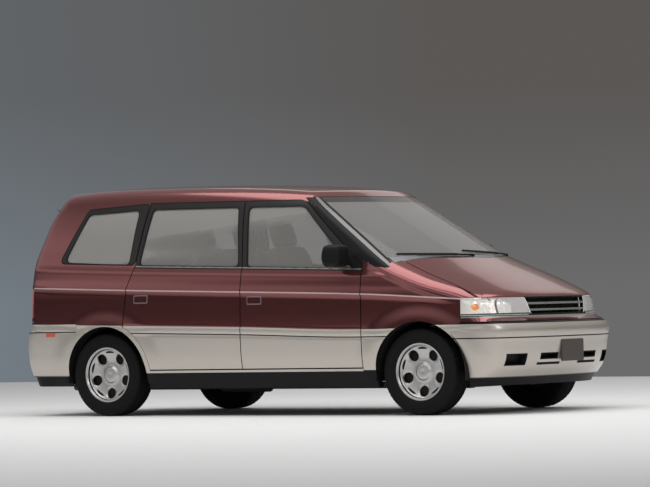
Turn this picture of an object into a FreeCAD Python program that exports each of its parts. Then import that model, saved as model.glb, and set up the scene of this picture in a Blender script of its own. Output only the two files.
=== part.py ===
import FreeCAD, Part
import math
import os

V = FreeCAD.Vector

# Overall size of the minivan, in millimetres
LENGTH = 4465.0
WIDTH = 1826.0
HEIGHT = 1730.0
FRONT_AXLE_X = 1455.0
WHEELBASE = 2804.0
FRONT_TRACK = 1524.0
REAR_TRACK = 1539.0
TYRE_RADIUS = 312.0
TYRE_WIDTH = 200.0
RIM_RADIUS = 196.0
RIM_LIP = 208.0
RIM_WIDTH = 170.0
OVERRUN = 40.0
REACH = LENGTH / 2
HALF = WIDTH / 2
REAR_AXLE_X = FRONT_AXLE_X - WHEELBASE

# Shares of the half length, half width and height that shape the body
SIDE_SHARES = [(0.09, 0.905), (0.16, 0.935), (0.26, 0.972), (0.38, 0.985), (0.50, 0.982), (0.56, 0.972),
               (0.61, 0.955), (0.66, 0.935), (0.72, 0.902), (0.80, 0.858), (0.88, 0.802), (0.93, 0.757),
               (1.0, 0.69)]
PLAN_SHARES = [(-1.05, 0.90), (-0.90, 0.962), (-0.75, 0.988), (-0.45, 1.0), (0.0, 1.006), (0.40, 1.0),
               (0.60, 0.985), (0.70, 0.968), (0.80, 0.925), (0.90, 0.86), (1.05, 0.75)]
ROOF_SHARES = [(-1.05, 0.915), (-0.958, 0.945), (-0.916, 0.966), (-0.857, 0.983), (-0.80, 0.991),
               (-0.69, 0.998), (-0.58, 1.0), (-0.365, 0.998), (-0.154, 0.991), (0.05, 0.978), (0.21, 0.960),
               (0.33, 0.941), (0.70, 0.86)]
HOOD_SHARES = [(0.40, 0.792), (0.5375, 0.7295), (0.646, 0.6705), (0.717, 0.630), (0.784, 0.591),
               (0.851, 0.549), (0.896, 0.519), (0.923, 0.5006), (0.943, 0.4844), (0.963, 0.462),
               (1.0, 0.405)]
HOOD_CROWN_SHARES = [(0.40, 0.045), (0.5375, 0.040), (0.65, 0.038), (0.80, 0.026), (0.90, 0.012),
                     (1.0, 0.008)]
FRONT_SHARES = [(0.08, 0.915), (0.145, 0.945), (0.19, 0.972), (0.23, 0.985), (0.30, 0.994), (0.345, 1.0),
                (0.372, 0.992), (0.395, 0.960), (0.41, 0.951), (0.48, 0.944), (0.55, 0.93)]
FRONT_BOW_SHARES = [(0.08, 0.134), (0.36, 0.134), (0.41, 0.164), (0.55, 0.164)]
REAR_SHARES = [(0.08, 0.955), (0.145, 0.976), (0.25, 0.998), (0.30, 1.0), (0.36, 0.998), (0.385, 0.985),
               (0.41, 0.981), (0.57, 0.977), (0.66, 0.970), (0.82, 0.948), (0.92, 0.908), (1.0, 0.862)]
REAR_BOW_SHARES = [(0.08, 0.060), (0.66, 0.064), (0.82, 0.118), (0.92, 0.140), (1.0, 0.150)]
WIND_TOP_X = 685.0
WIND_TOP_Z = 1600.0
WIND_LEAN = 1.74
WIND_SAG_SHARE = 0.524
WIND_POWER = 2.4
BOW_POWER = 3.0

# Walls, panels and gaps
DOOR_DEPTH = 75.0
FRAME_DEPTH = 38.0
ROOF_DEPTH = 34.0
LID_DEPTH = 28.0
FENDER_DEPTH = 34.0
END_DEPTH = 60.0
GLASS = 5.0
PANEL_GAP = 7.0
GAP = PANEL_GAP / 2
SEAT_GAP = 0.3
FIT_GAP = 3.0
ROOF_CROWN = 30.0
ROOF_ARC_DROP = 105.0
ROOF_ARC_RUN = 120.0
HOOD_ARC_DROP = 55.0
HOOD_ARC_RUN = 80.0

# Heights and places of the panel lines
FOOT_Z = 205.0
SILL_Z = 345.0
BELT_Z = 1115.0
BUMPER_TOP = 645.0
LAMP_BOTTOM = 702.0
LAMP_TOP = 828.0
HOOD_LIFT = 6.0
DOOR_FRONT_X = 990.0
DOOR_SPLIT_X = -76.0
ARCH_RADIUS = 372.0
ARCH_Z = 302.0
FRONT_ARCH_SHIFT = 15.0
REAR_ARCH_SHIFT = 22.0
HOOD_REAR_X = 1527.0
HOOD_REAR_SAG = 392.0
HOOD_REAR_POWER = 1.85
HOOD_HALF_REAR = 730.0
HOOD_HALF_FRONT = 800.0
FLOOR_Z = 330.0
FLOOR_DEPTH = 30.0
BUMPER_LIFT = 95.0
REAR_FLOOR_Z = 500.0
REAR_FLOOR_X = -1000.0
RISER = 12.0
RAIL_Y = 420.0
RAIL_HALF = 30.0
RAIL_HEIGHT = 60.0
BULKHEAD = 12.0
BULKHEAD_TOP = 1300.0
HOUSING_SKIN = 12.0
HOUSING_REAR_Y = 572.0
HOUSING_FRONT_Y = 482.0
COWL_BACK = 3.5
RADIATOR_X = 1880.0
RADIATOR_DEPTH = 50.0
RADIATOR_HALF = 540.0
RADIATOR_TOP = 790.0
ENGINE_REAR_X = 1015.0
ENGINE_FRONT_X = 1700.0
ENGINE_HALF = 270.0
ENGINE_BOTTOM = 245.0
ENGINE_TOP = 890.0
ENGINE_MOUNT_X = 1210.0
GRILLE_FRAME = 14.0
GRILLE_GAPS = 3
GRILLE_BAR = 12.0
GRILLE_RECESS = 32.0
INTAKE_INNER_Y = 190.0
INTAKE_OUTER_Y = 470.0
INTAKE_BOTTOM = 400.0
INTAKE_TOP = 490.0
PLATE_HALF = 152.0
PLATE_BOTTOM = 362.0
PLATE_TOP = 522.0
PLATE_SKIN = 3.0
PLATE_MARGIN = 10.0
PLATE_FRONT_X = 2187.0
PLATE_REAR_X = -2216.0
MIRROR_X0 = 785.0
MIRROR_X1 = 905.0
MIRROR_REACH = 1082.0
MIRROR_BOTTOM = 1082.0
MIRROR_TOP = 1228.0
MIRROR_ROUND = 26.0
MIRROR_STEM = 40.0

# Cabin fittings
DRIVER_Y = 365.0
DASH_HALF = 770.0
CLUSTER_HALF = 190.0
STEERING_X = 575.0
STEERING_Z = 985.0
STEERING_LEAN_DEG = 30.0
STEERING_RADIUS = 180.0
STEERING_RIM = 13.0
STEERING_HUB = 35.0
STEERING_BOSS = 48.0
COLUMN_LENGTH = 260.0
COLUMN_RADIUS = 34.0
SEAT_LENGTH = 500.0
SEAT_THICK = 140.0
SEAT_ROUND = 35.0
SEAT_Z = 560.0
REAR_SEAT_Z = 650.0
SEAT_HALF = 255.0
BENCH_HALF = 545.0
BACK_HEIGHT = 560.0
BACK_LEAN_DEG = 18.0
HEADREST_HALF = 125.0
HEADREST_THICK = 95.0
HEADREST_HEIGHT = 190.0
HEADREST_POST = 9.0
BACK_THICK = 120.0
HEADREST_SHARE = 0.5
FRONT_SEAT_X = 565.0
MIDDLE_SEAT_X = -240.0
REAR_SEAT_X = -1030.0
DASH_SHARES = [(0.40, 0.630), (0.325, 0.610), (0.296, 0.566), (0.305, 0.50), (0.345, 0.42)]
DASH_TOP_SHARE = 0.613
DASH_FOOT_SHARE = 0.40
CLUSTER_SHARES = [(0.335, 0.60), (0.36, 0.645), (0.315, 0.652), (0.299, 0.60)]

# Wheels and running gear
BEAD_SET = 6.0
BARREL_SKIN = 6.0
RIM_DROP = 24.0
LIP_SKIN = 8.0
DISC_Y = 30.0
DISC_DISH = 14.0
DISC_SKIN = 14.0
WHEEL_HOLES = 5
HOLE_PLACE_SHARE = 0.68
HOLE_RADIUS_SHARE = 0.17
SLOT_HALF = 18.0
HUB_RADIUS = 58.0
HUB_REACH = 62.0
POST_HALF = 20.0
KING_LOW_Y = 715.0
KING_LOW_Z = 202.0
KING_TOP_Y = 585.0
KING_TOP_Z = 850.0
KNUCKLE_TOP_Z = 440.0
STRUT_RADIUS = 18.0
ARM_SKIN = 20.0
ARM_ROOT = 170.0
CROSS_HALF = 60.0
AXLE_RADIUS = 40.0
DIFF_RADIUS = 108.0
LINK_LENGTH = 520.0
LINK_HALF = 18.0
LINK_Y = 480.0
SPRING_RADIUS = 55.0
SHAFT_RADIUS = 30.0
SHAFT_Z = 266.0
TANK_X0 = -900.0
TANK_X1 = -350.0
TANK_Y0 = 70.0
TANK_Y1 = 380.0
TANK_BOTTOM = 215.0
PIPE_Y = -250.0
PIPE_Z = 205.0
PIPE_RADIUS = 25.0
MUFFLER_X = -700.0
MUFFLER_LENGTH = 420.0
MUFFLER_RADIUS = 70.0
TAIL_PIPE_X = -2120.0
MUFFLER_Z = 229.0
BULGE_SHARE = 0.84
SHOULDER_SHARE = 0.955
TREAD_SHARE = 0.80
DISC_FLAT_SHARE = 0.42
SLOT_SHARES = (0.78, 0.86)
SPOKE_TURNS_DEG = (-15, 90, 195)
SPOKE_SHARE = 0.8


# Panel outlines seen from the side, as shares of the half length and the height
FRONT_DOOR_TOP_SHARES = [(0.4435, 0.627), (0.1925, 0.902), (0.160, 0.9115), (-0.0618, 0.915),
                         (-0.030, 0.636)]
REAR_DOOR_TOP_SHARES = [(-0.030, 0.636), (-0.0618, 0.915), (-0.4535, 0.9205), (-0.474, 0.650),
                        (-0.504, 0.552), (-0.5165, 0.419), (-0.5165, 0.33)]
FRONT_WINDOW_SHARES = [(-0.008, 0.635), (0.4055, 0.616), (0.190, 0.874), (0.172, 0.8835), (-0.039, 0.887)]
REAR_WINDOW_SHARES = [(-0.046, 0.636), (-0.083, 0.888), (-0.4355, 0.892), (-0.4575, 0.654)]
QUARTER_WINDOW_SHARES = [(-0.503, 0.656), (-0.4945, 0.892), (-0.707, 0.880), (-0.782, 0.674)]
WINDSHIELD_SHARES = [(-0.885, 0.613), (-0.70, 0.921), (0.70, 0.921), (0.885, 0.613)]
LIFTGATE_SHARES = [(-0.80, 0.408), (0.80, 0.408), (0.80, 0.64), (0.635, 0.938), (-0.635, 0.938),
                   (-0.80, 0.64)]
LIFTGATE_WINDOW_SHARES = [(-0.70, 0.655), (0.70, 0.655), (0.575, 0.902), (-0.575, 0.902)]

# Panel edges, pillars, lamps and hinges
CORNER_RADIUS = 28.0
WINDOW_RADIUS = 36.0
ARCH_LIP = 36.0
GLASS_SET = 14.0
PILLAR_HALF = 52.0
PILLAR_DEPTH = 34.0
PILLAR_CLEAR = 8.0
TAIL_LAMP_INNER_Y = 742.0
TAIL_LAMP_FRONT_X = 2040.0
TAIL_LAMP_BOTTOM = 720.0
TAIL_LAMP_TOP = 965.0
HEADLAMP_INNER_TOP_Y = 408.0
HEADLAMP_INNER_FOOT_Y = 361.0
HEADLAMP_REAR_X = 1806.0
SEAM = 4.0
SILL_TOP = SILL_Z - PANEL_GAP
HINGE_SET = 12.0
HINGE_WIDE = 30.0
HINGE_TALL = 70.0
HINGE_HEIGHTS = (480.0, 880.0)
LIFTGATE_HINGE_Y = 280.0
BONNET_HINGE_Y = 690.0
LIFTGATE_TOP = LIFTGATE_SHARES[3][1] * HEIGHT
REAR_BUMPER_X = -1600.0
REAR_BUMPER_TOP = 697.0
MIRROR_SAIL_SHARES = [(0.412, 0.630), (0.352, 0.700), (0.325, 0.700), (0.325, 0.630)]
HANDLE_FRONT_X = 56.0
HANDLE_REAR_X = -988.0
HANDLE_FRONT_Z = 846.0
HANDLE_REAR_Z = 872.0
HANDLE_HALF = 58.0
HANDLE_TALL = 46.0
HANDLE_DEPTH = 22.0
INTAKE_SLANT = 26.0
BALL_RADIUS = 14.0

# How the curved blocks are built: sampling, closing tolerance and the reach of their faces
CLOSE = 0.01
LEAST_VOLUME = 1000.0
FIT_SHARES = (0.25, 0.5, 0.75)
ROUND_SHARE = 0.45
CABIN_STATION_SHARES = (-1.04, -0.97, -0.92, -0.86, -0.78, -0.68, -0.55, -0.38, -0.2, 0.0, 0.18, 0.3, 0.42,
                        0.55, 0.68)
NOSE_STATION_SHARES = (0.40, 0.48, 0.56, 0.64, 0.71, 0.77, 0.83, 0.88, 0.92, 0.96, 1.0, 1.04)
PILLAR_MIDDLE_SHARE = 0.55
PILLAR_TOP_SHARE = 0.935
TAIL_ROOM_SHARE = 0.82
WIND_ROOM_SHARE = 0.13
PANE_ROOM_SHARES = ((-0.85, 0.48), (0.55, 0.965))
PANE_FILL_SHARE = 0.5


# Curves through hand-chosen shares
def curve(pairs, at):
    """Value of a smooth curve through the pairs, straight beyond both ends."""
    steps = [(b[1] - a[1]) / (b[0] - a[0]) for a, b in zip(pairs, pairs[1:])]
    slopes = [steps[0]]
    for before, after in zip(steps, steps[1:]):
        slopes.append(2 * before * after / (before + after) if before * after > 0 else 0.0)
    slopes.append(steps[-1])
    if at <= pairs[0][0]:
        return pairs[0][1] + slopes[0] * (at - pairs[0][0])
    if at >= pairs[-1][0]:
        return pairs[-1][1] + slopes[-1] * (at - pairs[-1][0])
    i = max(k for k in range(len(pairs) - 1) if pairs[k][0] <= at)
    width = pairs[i + 1][0] - pairs[i][0]
    t = (at - pairs[i][0]) / width
    rise = t * t * (3 - 2 * t)
    return (pairs[i][1] + (pairs[i + 1][1] - pairs[i][1]) * rise
            + width * (slopes[i] * t * (1 - t) ** 2 - slopes[i + 1] * t * t * (1 - t)))


def spread(low, high, count):
    """Even steps from low to high, both included."""
    return [low + (high - low) * i / (count - 1) for i in range(count)]


# Master surfaces of the body
def wall_y(x, z):
    return HALF * curve(PLAN_SHARES, x / REACH) * curve(SIDE_SHARES, z / HEIGHT)


def roof_z(x, y):
    return HEIGHT * curve(ROOF_SHARES, x / REACH) - ROOF_CROWN * (y / (HALF * curve(SIDE_SHARES, 1.0))) ** 2


def hood_z(x, y):
    bow = REACH * curve(FRONT_BOW_SHARES, LAMP_TOP / HEIGHT)
    ahead = x + bow * (abs(y) / HALF) ** BOW_POWER
    return HEIGHT * (curve(HOOD_SHARES, ahead / REACH) - curve(HOOD_CROWN_SHARES, x / REACH)
                     * (y / HALF) ** 2)


def front_x(y, z):
    bow = curve(FRONT_BOW_SHARES, z / HEIGHT) * (abs(y) / HALF) ** BOW_POWER
    return REACH * (curve(FRONT_SHARES, z / HEIGHT) - bow)


def rear_x(y, z):
    bow = curve(REAR_BOW_SHARES, z / HEIGHT) * (abs(y) / HALF) ** BOW_POWER
    return REACH * (bow - curve(REAR_SHARES, z / HEIGHT))


def wind_x(y, z):
    return WIND_TOP_X + WIND_LEAN * (WIND_TOP_Z - z) - WIND_SAG_SHARE * HALF * (abs(y) / HALF) ** WIND_POWER


def wall_depth(z):
    share = min(max((z - BELT_Z + DOOR_DEPTH) / DOOR_DEPTH, 0.0), 1.0)
    return DOOR_DEPTH + (FRAME_DEPTH - DOOR_DEPTH) * share * share * (3 - 2 * share)


# Solids bounded by the master surfaces
def surface(grid):
    face = Part.BSplineSurface()
    face.interpolate(grid)
    return face.toShape()


def field(place, spans, push):
    """A block behind one curved face: place(a, b) gives its points, push fills it up."""
    (a0, a1, na), (b0, b1, nb) = spans
    grid = [[place(a, b) for b in spread(b0, b1, nb)] for a in spread(a0, a1, na)]
    return surface(grid).extrude(push)


def corner(foot, foot_lean, lid, lid_slope):
    """Control point where the wall's and the lid's tangents meet."""
    z = (lid[1] + lid_slope * (foot[0] - foot_lean * foot[1] - lid[0])) / (1 - lid_slope * foot_lean)
    return (foot[0] + foot_lean * (z - foot[1]), z)


def half_hoop(x, lid, depth, lid_depth, drop, run):
    """Right half of a section, from the foot over the shoulder to the middle."""
    nudge = OVERRUN / 2
    edge = lid(x, wall_y(x, lid(x, HALF * SIDE_SHARES[-1][1]) - drop)) - lid_depth - drop
    points = [(wall_y(x, z) - depth(z), z) for z in spread(FOOT_Z - OVERRUN, edge, 10)]
    foot = points[-1]
    lean = (wall_y(x, foot[1]) - wall_y(x, foot[1] - nudge)) / nudge
    inner = foot[0] - run
    top = (inner, lid(x, inner) - lid_depth)
    slope = (lid(x, inner) - lid(x, inner - nudge)) / nudge
    mid = corner(foot, lean, top, slope)
    for t in FIT_SHARES:
        points.append(tuple(foot[i] * (1 - t) ** 2 + mid[i] * 2 * t * (1 - t) + top[i] * t * t
                            for i in (0, 1)))
    for y in spread(inner, 0.0, 6):
        points.append((y, lid(x, y) - lid_depth))
    return points


def hoop_solid(stations, lid, depth, lid_depth, drop, run):
    """Closed solid under a row of hoops, flat at its ends and at its foot."""
    grid = []
    for x in stations:
        half = half_hoop(x, lid, depth, lid_depth, drop, run)
        right = [V(x, -y, z) for y, z in half]
        left = [V(x, y, z) for y, z in reversed(half[:-1])]
        grid.append(right + left)
    skin = surface(grid)
    ends = []
    for row in (grid[0], grid[-1]):
        edge = [e for e in skin.Edges if all(abs(v.Point.x - row[0].x) < SEAT_GAP for v in e.Vertexes)
                and abs(e.CenterOfMass.x - row[0].x) < SEAT_GAP][0]
        ends.append(Part.Face(Part.Wire([edge, Part.makeLine(row[-1], row[0])])))
    feet = [e for e in skin.Edges if abs(e.BoundBox.ZMax - e.BoundBox.ZMin) < SEAT_GAP]
    lines = [Part.makeLine(row[0], row[-1]) for row in (grid[0], grid[-1])]
    base = Part.Face(Part.Wire(Part.__sortEdges__(feet + lines)))
    solid = Part.Solid(Part.Shell([skin, base] + ends))
    solid.fix(CLOSE, CLOSE, CLOSE)
    return solid


def box(x0, x1, y0, y1, z0, z1):
    return Part.makeBox(x1 - x0, y1 - y0, z1 - z0, V(x0, y0, z0))


def mirror(shape):
    return shape.mirror(V(0, 0, 0), V(0, 1, 0))


def both(shape):
    return Part.makeCompound([shape, mirror(shape)])


def solids(shape, least=LEAST_VOLUME):
    """The shape's own solids without slivers."""
    return Part.makeCompound([s for s in shape.Solids if s.Volume > least])


# Outlines with rounded corners, cut as prisms
def rounded(points, radius):
    """Closed wire through points in one plane, each corner rounded by an arc."""
    edges = []
    spots = []
    count = len(points)
    for i in range(count):
        before, here, after = points[i - 1], points[i], points[(i + 1) % count]
        a = (before - here).normalize()
        b = (after - here).normalize()
        turn = math.pi - a.getAngle(b)
        reach = radius * math.tan(turn / 2)
        reach = min(reach, (before - here).Length * ROUND_SHARE, (after - here).Length * ROUND_SHARE)
        bisect = (a + b).normalize()
        local = reach / math.tan(turn / 2)
        centre = here + bisect * (local / math.cos(turn / 2))
        middle = centre - bisect * local
        spots.append((here + a * reach, middle, here + b * reach))
    for i in range(count):
        start, middle, end = spots[i]
        edges.append(Part.Arc(start, middle, end).toShape())
        following = spots[(i + 1) % count][0]
        if (following - end).Length > SEAT_GAP / 10:
            edges.append(Part.makeLine(end, following))
    return Part.Wire(edges)


def grown(points, offset):
    """The 2-D outline moved outwards by offset, counter-clockwise or not."""
    area = sum(a[0] * b[1] - b[0] * a[1] for a, b in zip(points, points[1:] + points[:1]))
    side = 1 if area > 0 else -1
    result = []
    count = len(points)
    for i in range(count):
        p, q, r = points[i - 1], points[i], points[(i + 1) % count]
        n = []
        for s, t in ((p, q), (q, r)):
            size = math.hypot(t[0] - s[0], t[1] - s[1])
            n.append(((t[1] - s[1]) / size * side, (s[0] - t[0]) / size * side))
        scale = offset / (1 + n[0][0] * n[1][0] + n[0][1] * n[1][1])
        result.append((q[0] + (n[0][0] + n[1][0]) * scale, q[1] + (n[0][1] + n[1][1]) * scale))
    return result


def side_prism(points, radius, y0, y1):
    wire = rounded([V(x, y0, z) for x, z in points], radius)
    return Part.Face(wire).extrude(V(0, y1 - y0, 0))


def end_prism(points, radius, x0, x1):
    wire = rounded([V(x0, y, z) for y, z in points], radius)
    return Part.Face(wire).extrude(V(x1 - x0, 0, 0))


def in_shares(pairs):
    return [(x * REACH, z * HEIGHT) for x, z in pairs]


# Master solids
def roof_block(inset):
    depth = wall_depth if inset else (lambda z: 0.0)
    stations = [REACH * s for s in CABIN_STATION_SHARES]
    return hoop_solid(stations, roof_z, depth, ROOF_DEPTH if inset else 0.0, ROOF_ARC_DROP, ROOF_ARC_RUN)


def hood_block(inset):
    depth = (lambda z: FENDER_DEPTH) if inset else (lambda z: 0.0)
    stations = [REACH * s for s in NOSE_STATION_SHARES]
    return hoop_solid(stations, hood_z, depth, LID_DEPTH if inset else 0.0, HOOD_ARC_DROP, HOOD_ARC_RUN)


def moved(shape, way):
    copy = shape.copy()
    copy.translate(way)
    return copy


def behind_wind(inset):
    def place(y, z):
        return V(wind_x(y, z) - inset, y, z)
    return field(place, ((-WIDTH, WIDTH, 21), (FOOT_Z - 2 * OVERRUN, HEIGHT + OVERRUN, 4)),
                 V(-2 * LENGTH, 0, 0))


def ahead_of_rear(inset):
    def place(y, z):
        return V(rear_x(y, z) + inset, y, z)
    return field(place,
                 ((-HALF - OVERRUN, HALF + OVERRUN, 15), (FOOT_Z - 2 * OVERRUN, HEIGHT + OVERRUN, 24)),
                 V(2 * LENGTH, 0, 0))


def behind_front(inset):
    def place(y, z):
        return V(front_x(y, z) - inset, y, z)
    return field(place, ((-HALF - OVERRUN, HALF + OVERRUN, 15), (FOOT_Z - 2 * OVERRUN, HEIGHT, 34)),
                 V(-LENGTH, 0, 0))


def under_hood(gap):
    def place(x, y):
        return V(x, y, hood_z(x, y) + gap)
    return field(place, ((DOOR_FRONT_X, REACH, 14), (-HALF - OVERRUN, HALF + OVERRUN, 15)),
                 V(0, 0, -HEIGHT))


def arch(x, shift, grow=0.0):
    return Part.makeCylinder(ARCH_RADIUS + grow, WIDTH + 2 * OVERRUN, V(x + shift, -HALF - OVERRUN, ARCH_Z),
                             V(0, 1, 0))


# Panel outlines as prisms
def door_front_outline():
    return [(DOOR_SPLIT_X, SILL_Z), (DOOR_FRONT_X, SILL_Z)] + in_shares(FRONT_DOOR_TOP_SHARES)


def door_rear_outline():
    top = in_shares(REAR_DOOR_TOP_SHARES)
    return [(DOOR_SPLIT_X, SILL_Z)] + top + [(REAR_AXLE_X + REAR_ARCH_SHIFT + ARCH_RADIUS + ARCH_LIP,
                                              SILL_Z)]


def half_shares(pairs):
    return [(y * HALF, z * HEIGHT) for y, z in pairs]


# The roof, pillars, quarters and sills: one wall with every opening cut
def cabin_outer(extra=0.0):
    return roof_block(False).common(behind_wind(extra)).common(ahead_of_rear(extra))


def cabin_inner():
    return roof_block(True).common(behind_wind(FRAME_DEPTH)).common(ahead_of_rear(END_DEPTH))


def leaves(x0, x1, y0, y1, heights, tall):
    """Hinge leaves at the given heights, on the left side."""
    return [box(x0, x1, y0, y1, z - tall / 2, z + tall / 2) for z in heights]


def door_prism(outline, offset):
    return side_prism(grown(outline, offset), CORNER_RADIUS, 0.0, WIDTH)


def window_prism(pairs, offset):
    return side_prism(grown(in_shares(pairs), offset), WINDOW_RADIUS, 0.0, WIDTH)


def rear_arch(grow=0.0):
    return arch(REAR_AXLE_X, REAR_ARCH_SHIFT, grow)


def front_arch(grow=0.0):
    return arch(FRONT_AXLE_X, FRONT_ARCH_SHIFT, grow)


def liftgate_prism(offset):
    outline = grown(half_shares(LIFTGATE_SHARES), offset)
    return end_prism(outline, CORNER_RADIUS, -REACH - OVERRUN, -REACH * TAIL_ROOM_SHARE)


def liftgate_window_prism(offset):
    outline = grown(half_shares(LIFTGATE_WINDOW_SHARES), offset)
    return end_prism(outline, WINDOW_RADIUS, -REACH - OVERRUN, -REACH * TAIL_ROOM_SHARE)


def windshield_prism(offset):
    outline = grown(half_shares(WINDSHIELD_SHARES), offset)
    return end_prism(outline, WINDOW_RADIUS, REACH * WIND_ROOM_SHARE, REACH)


def body_shell(wall, under):
    shape = wall.cut(Part.makeCompound([
        box(-2 * LENGTH, 2 * LENGTH, -WIDTH, WIDTH, 0.0, FOOT_Z),
        box(-2 * LENGTH, REAR_BUMPER_X + SEAM, -WIDTH, WIDTH, 0.0, REAR_BUMPER_TOP + SEAM)]))
    shape = shape.cut(under.common(box(DOOR_FRONT_X + GAP, REACH, -WIDTH, WIDTH, 0.0, HEIGHT)))
    shape = shape.cut(rear_arch()).cut(windshield_prism(0.0)).cut(liftgate_prism(GAP))
    rear = door_prism(door_rear_outline(), GAP).cut(rear_arch(ARCH_LIP - GAP))
    top = rear_x(0.0, LIFTGATE_TOP) + END_DEPTH - HINGE_SET
    reach = 2 * HINGE_WIDE
    hinge = box(top - HINGE_WIDE, top, LIFTGATE_HINGE_Y, LIFTGATE_HINGE_Y + reach,
                LIFTGATE_TOP + SEAT_GAP - GAP, LIFTGATE_TOP + GAP + SEAM)
    shape = shape.multiFuse([hinge, mirror(hinge)])
    for opening in (door_prism(door_front_outline(), GAP), rear, window_prism(QUARTER_WINDOW_SHARES, 0.0),
                    tail_lamp_box(SEAT_GAP)):
        shape = shape.cut(opening).cut(mirror(opening))
    return solids(shape)


def pillar_wall():
    """The middle pillars, just inside the doors, footed on the sills and the roof rails."""
    def depth_at(extra):
        return lambda z: wall_depth(z) + extra
    stations = spread(DOOR_SPLIT_X - PILLAR_HALF * 2, DOOR_SPLIT_X + PILLAR_HALF * 2, 4)
    lid = ROOF_DEPTH
    blocks = [hoop_solid(stations, roof_z, depth_at(extra), lid + extra, ROOF_ARC_DROP, ROOF_ARC_RUN)
              for extra in (0.0, PILLAR_CLEAR, PILLAR_CLEAR + PILLAR_DEPTH)]
    band = box(DOOR_SPLIT_X - PILLAR_HALF, DOOR_SPLIT_X + PILLAR_HALF, -WIDTH, WIDTH, FLOOR_Z, HEIGHT)
    feet = [box(DOOR_SPLIT_X - PILLAR_HALF, DOOR_SPLIT_X + PILLAR_HALF, -WIDTH, WIDTH, low, high)
            for low, high in ((FLOOR_Z, SILL_TOP - SEAM), (HEIGHT * PILLAR_TOP_SHARE, HEIGHT))]
    ring = blocks[1].cut(blocks[2]).common(band)
    foot = blocks[0].cut(blocks[2]).common(Part.makeCompound(feet))
    near = hoop_solid(stations, roof_z, depth_at(SEAT_GAP), lid + SEAT_GAP, ROOF_ARC_DROP,
                      ROOF_ARC_RUN).cut(blocks[2])
    back = DOOR_SPLIT_X - GAP - HINGE_SET
    hinge = both(Part.makeCompound(leaves(back - HINGE_WIDE, back, 0.0, WIDTH, HINGE_HEIGHTS, HINGE_TALL)))
    joined = ring.multiFuse([foot, near.common(hinge)])
    near_middle = HALF * PILLAR_MIDDLE_SHARE
    middle = box(-LENGTH, LENGTH, -near_middle, near_middle, 0.0, 2 * HEIGHT)
    return joined.cut(middle)


def tail_lamp_box(offset):
    return box(-REACH - OVERRUN, -TAIL_LAMP_FRONT_X + offset, TAIL_LAMP_INNER_Y - offset, WIDTH,
               TAIL_LAMP_BOTTOM - offset, TAIL_LAMP_TOP + offset)


def tail_lamps(wall):
    return both(solids(wall.common(tail_lamp_box(0.0))))


def rear_bumper(wall):
    band = box(-REACH - OVERRUN, REAR_BUMPER_X, -WIDTH, WIDTH, FOOT_Z + BUMPER_LIFT, REAR_BUMPER_TOP)
    shape = wall.common(band).cut(rear_arch())
    return solids(shape.cut(plate_pocket(PLATE_REAR_X + PLATE_SKIN + SEAT_GAP, -REACH - OVERRUN)))


def handle(x, z):
    """Hand recess of a left door and the flap that hangs over its upper half."""
    face = wall_y(x, z)
    recess = box(x - HANDLE_HALF, x + HANDLE_HALF, face - HANDLE_DEPTH, WIDTH, z - HANDLE_TALL / 2,
                 z + HANDLE_TALL / 2)
    flap = box(x - HANDLE_HALF + SEAM, x + HANDLE_HALF - SEAM, face - HANDLE_DEPTH - SEAM, face - SEAM, z,
               z + HANDLE_TALL / 2 - SEAM)
    return recess, flap


def front_door(wall):
    panel = wall.common(door_prism(door_front_outline(), -GAP)).cut(window_prism(FRONT_WINDOW_SHARES, 0.0))
    recess, flap = handle(HANDLE_FRONT_X, HANDLE_FRONT_Z)
    return solids(panel.common(box(-LENGTH, LENGTH, 0.0, WIDTH, 0.0, HEIGHT)).cut(recess).fuse(flap))


def rear_door(wall):
    panel = wall.common(door_prism(door_rear_outline(), -GAP).cut(rear_arch(ARCH_LIP + GAP)))
    recess, flap = handle(HANDLE_REAR_X, HANDLE_REAR_Z)
    return solids(panel.cut(window_prism(REAR_WINDOW_SHARES, 0.0)).cut(recess).fuse(flap))


def pane(pairs):
    """Side glass, set in from the outer face of its frame."""
    prism = window_prism(pairs, 0.0)
    outer = shifted_wall(GLASS_SET)
    inner = shifted_wall(GLASS_SET + GLASS)
    return solids(outer.common(prism).cut(inner))


def shifted_wall(inset):
    """Left half of the cabin side moved inwards by inset."""
    def place(x, z):
        return V(x, wall_y(x, z) - inset, z)
    (rear, front), (low, high) = PANE_ROOM_SHARES
    spans = ((REACH * rear, REACH * front, 20), (HEIGHT * low, HEIGHT * high, 12))
    return field(place, spans, V(0, -HALF * PANE_FILL_SHARE, 0))


def liftgate(wall):
    return solids(wall.common(liftgate_prism(-GAP)).cut(liftgate_window_prism(0.0)))


def liftgate_glass():
    slab = ahead_of_rear(GLASS_SET).cut(ahead_of_rear(GLASS_SET + GLASS))
    return solids(slab.common(liftgate_window_prism(0.0)))


def windshield(under):
    slab = behind_wind(SEAT_GAP).cut(behind_wind(SEAT_GAP + GLASS))
    return solids(slab.common(windshield_prism(0.0)).cut(under))


# The front: bonnet, wings, nose panel, lamps, grille and bumper
def hood_rear_edge(offset):
    """Rear edge of the bonnet in plan, bowed forwards in the middle."""
    width = HOOD_HALF_REAR + offset
    points = []
    for y in spread(-width, width, 9):
        points.append(V(HOOD_REAR_X - offset - HOOD_REAR_SAG * (abs(y) / HALF) ** HOOD_REAR_POWER, y, 0))
    return points


def hood_prism(offset):
    """The bonnet's outline in plan, grown by offset at its rear and sides."""
    points = hood_rear_edge(offset)
    rear = Part.BSplineCurve()
    rear.interpolate(points)
    front = [V(REACH, HOOD_HALF_FRONT + offset, 0), V(REACH, -HOOD_HALF_FRONT - offset, 0)]
    edges = [rear.toShape(), Part.makeLine(points[-1], front[0]), Part.makeLine(front[0], front[1]),
             Part.makeLine(front[1], points[0])]
    prism = Part.Face(Part.Wire(edges)).extrude(V(0, 0, HEIGHT))
    prism.translate(V(0, 0, LAMP_TOP + HOOD_LIFT - offset))
    return prism


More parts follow.
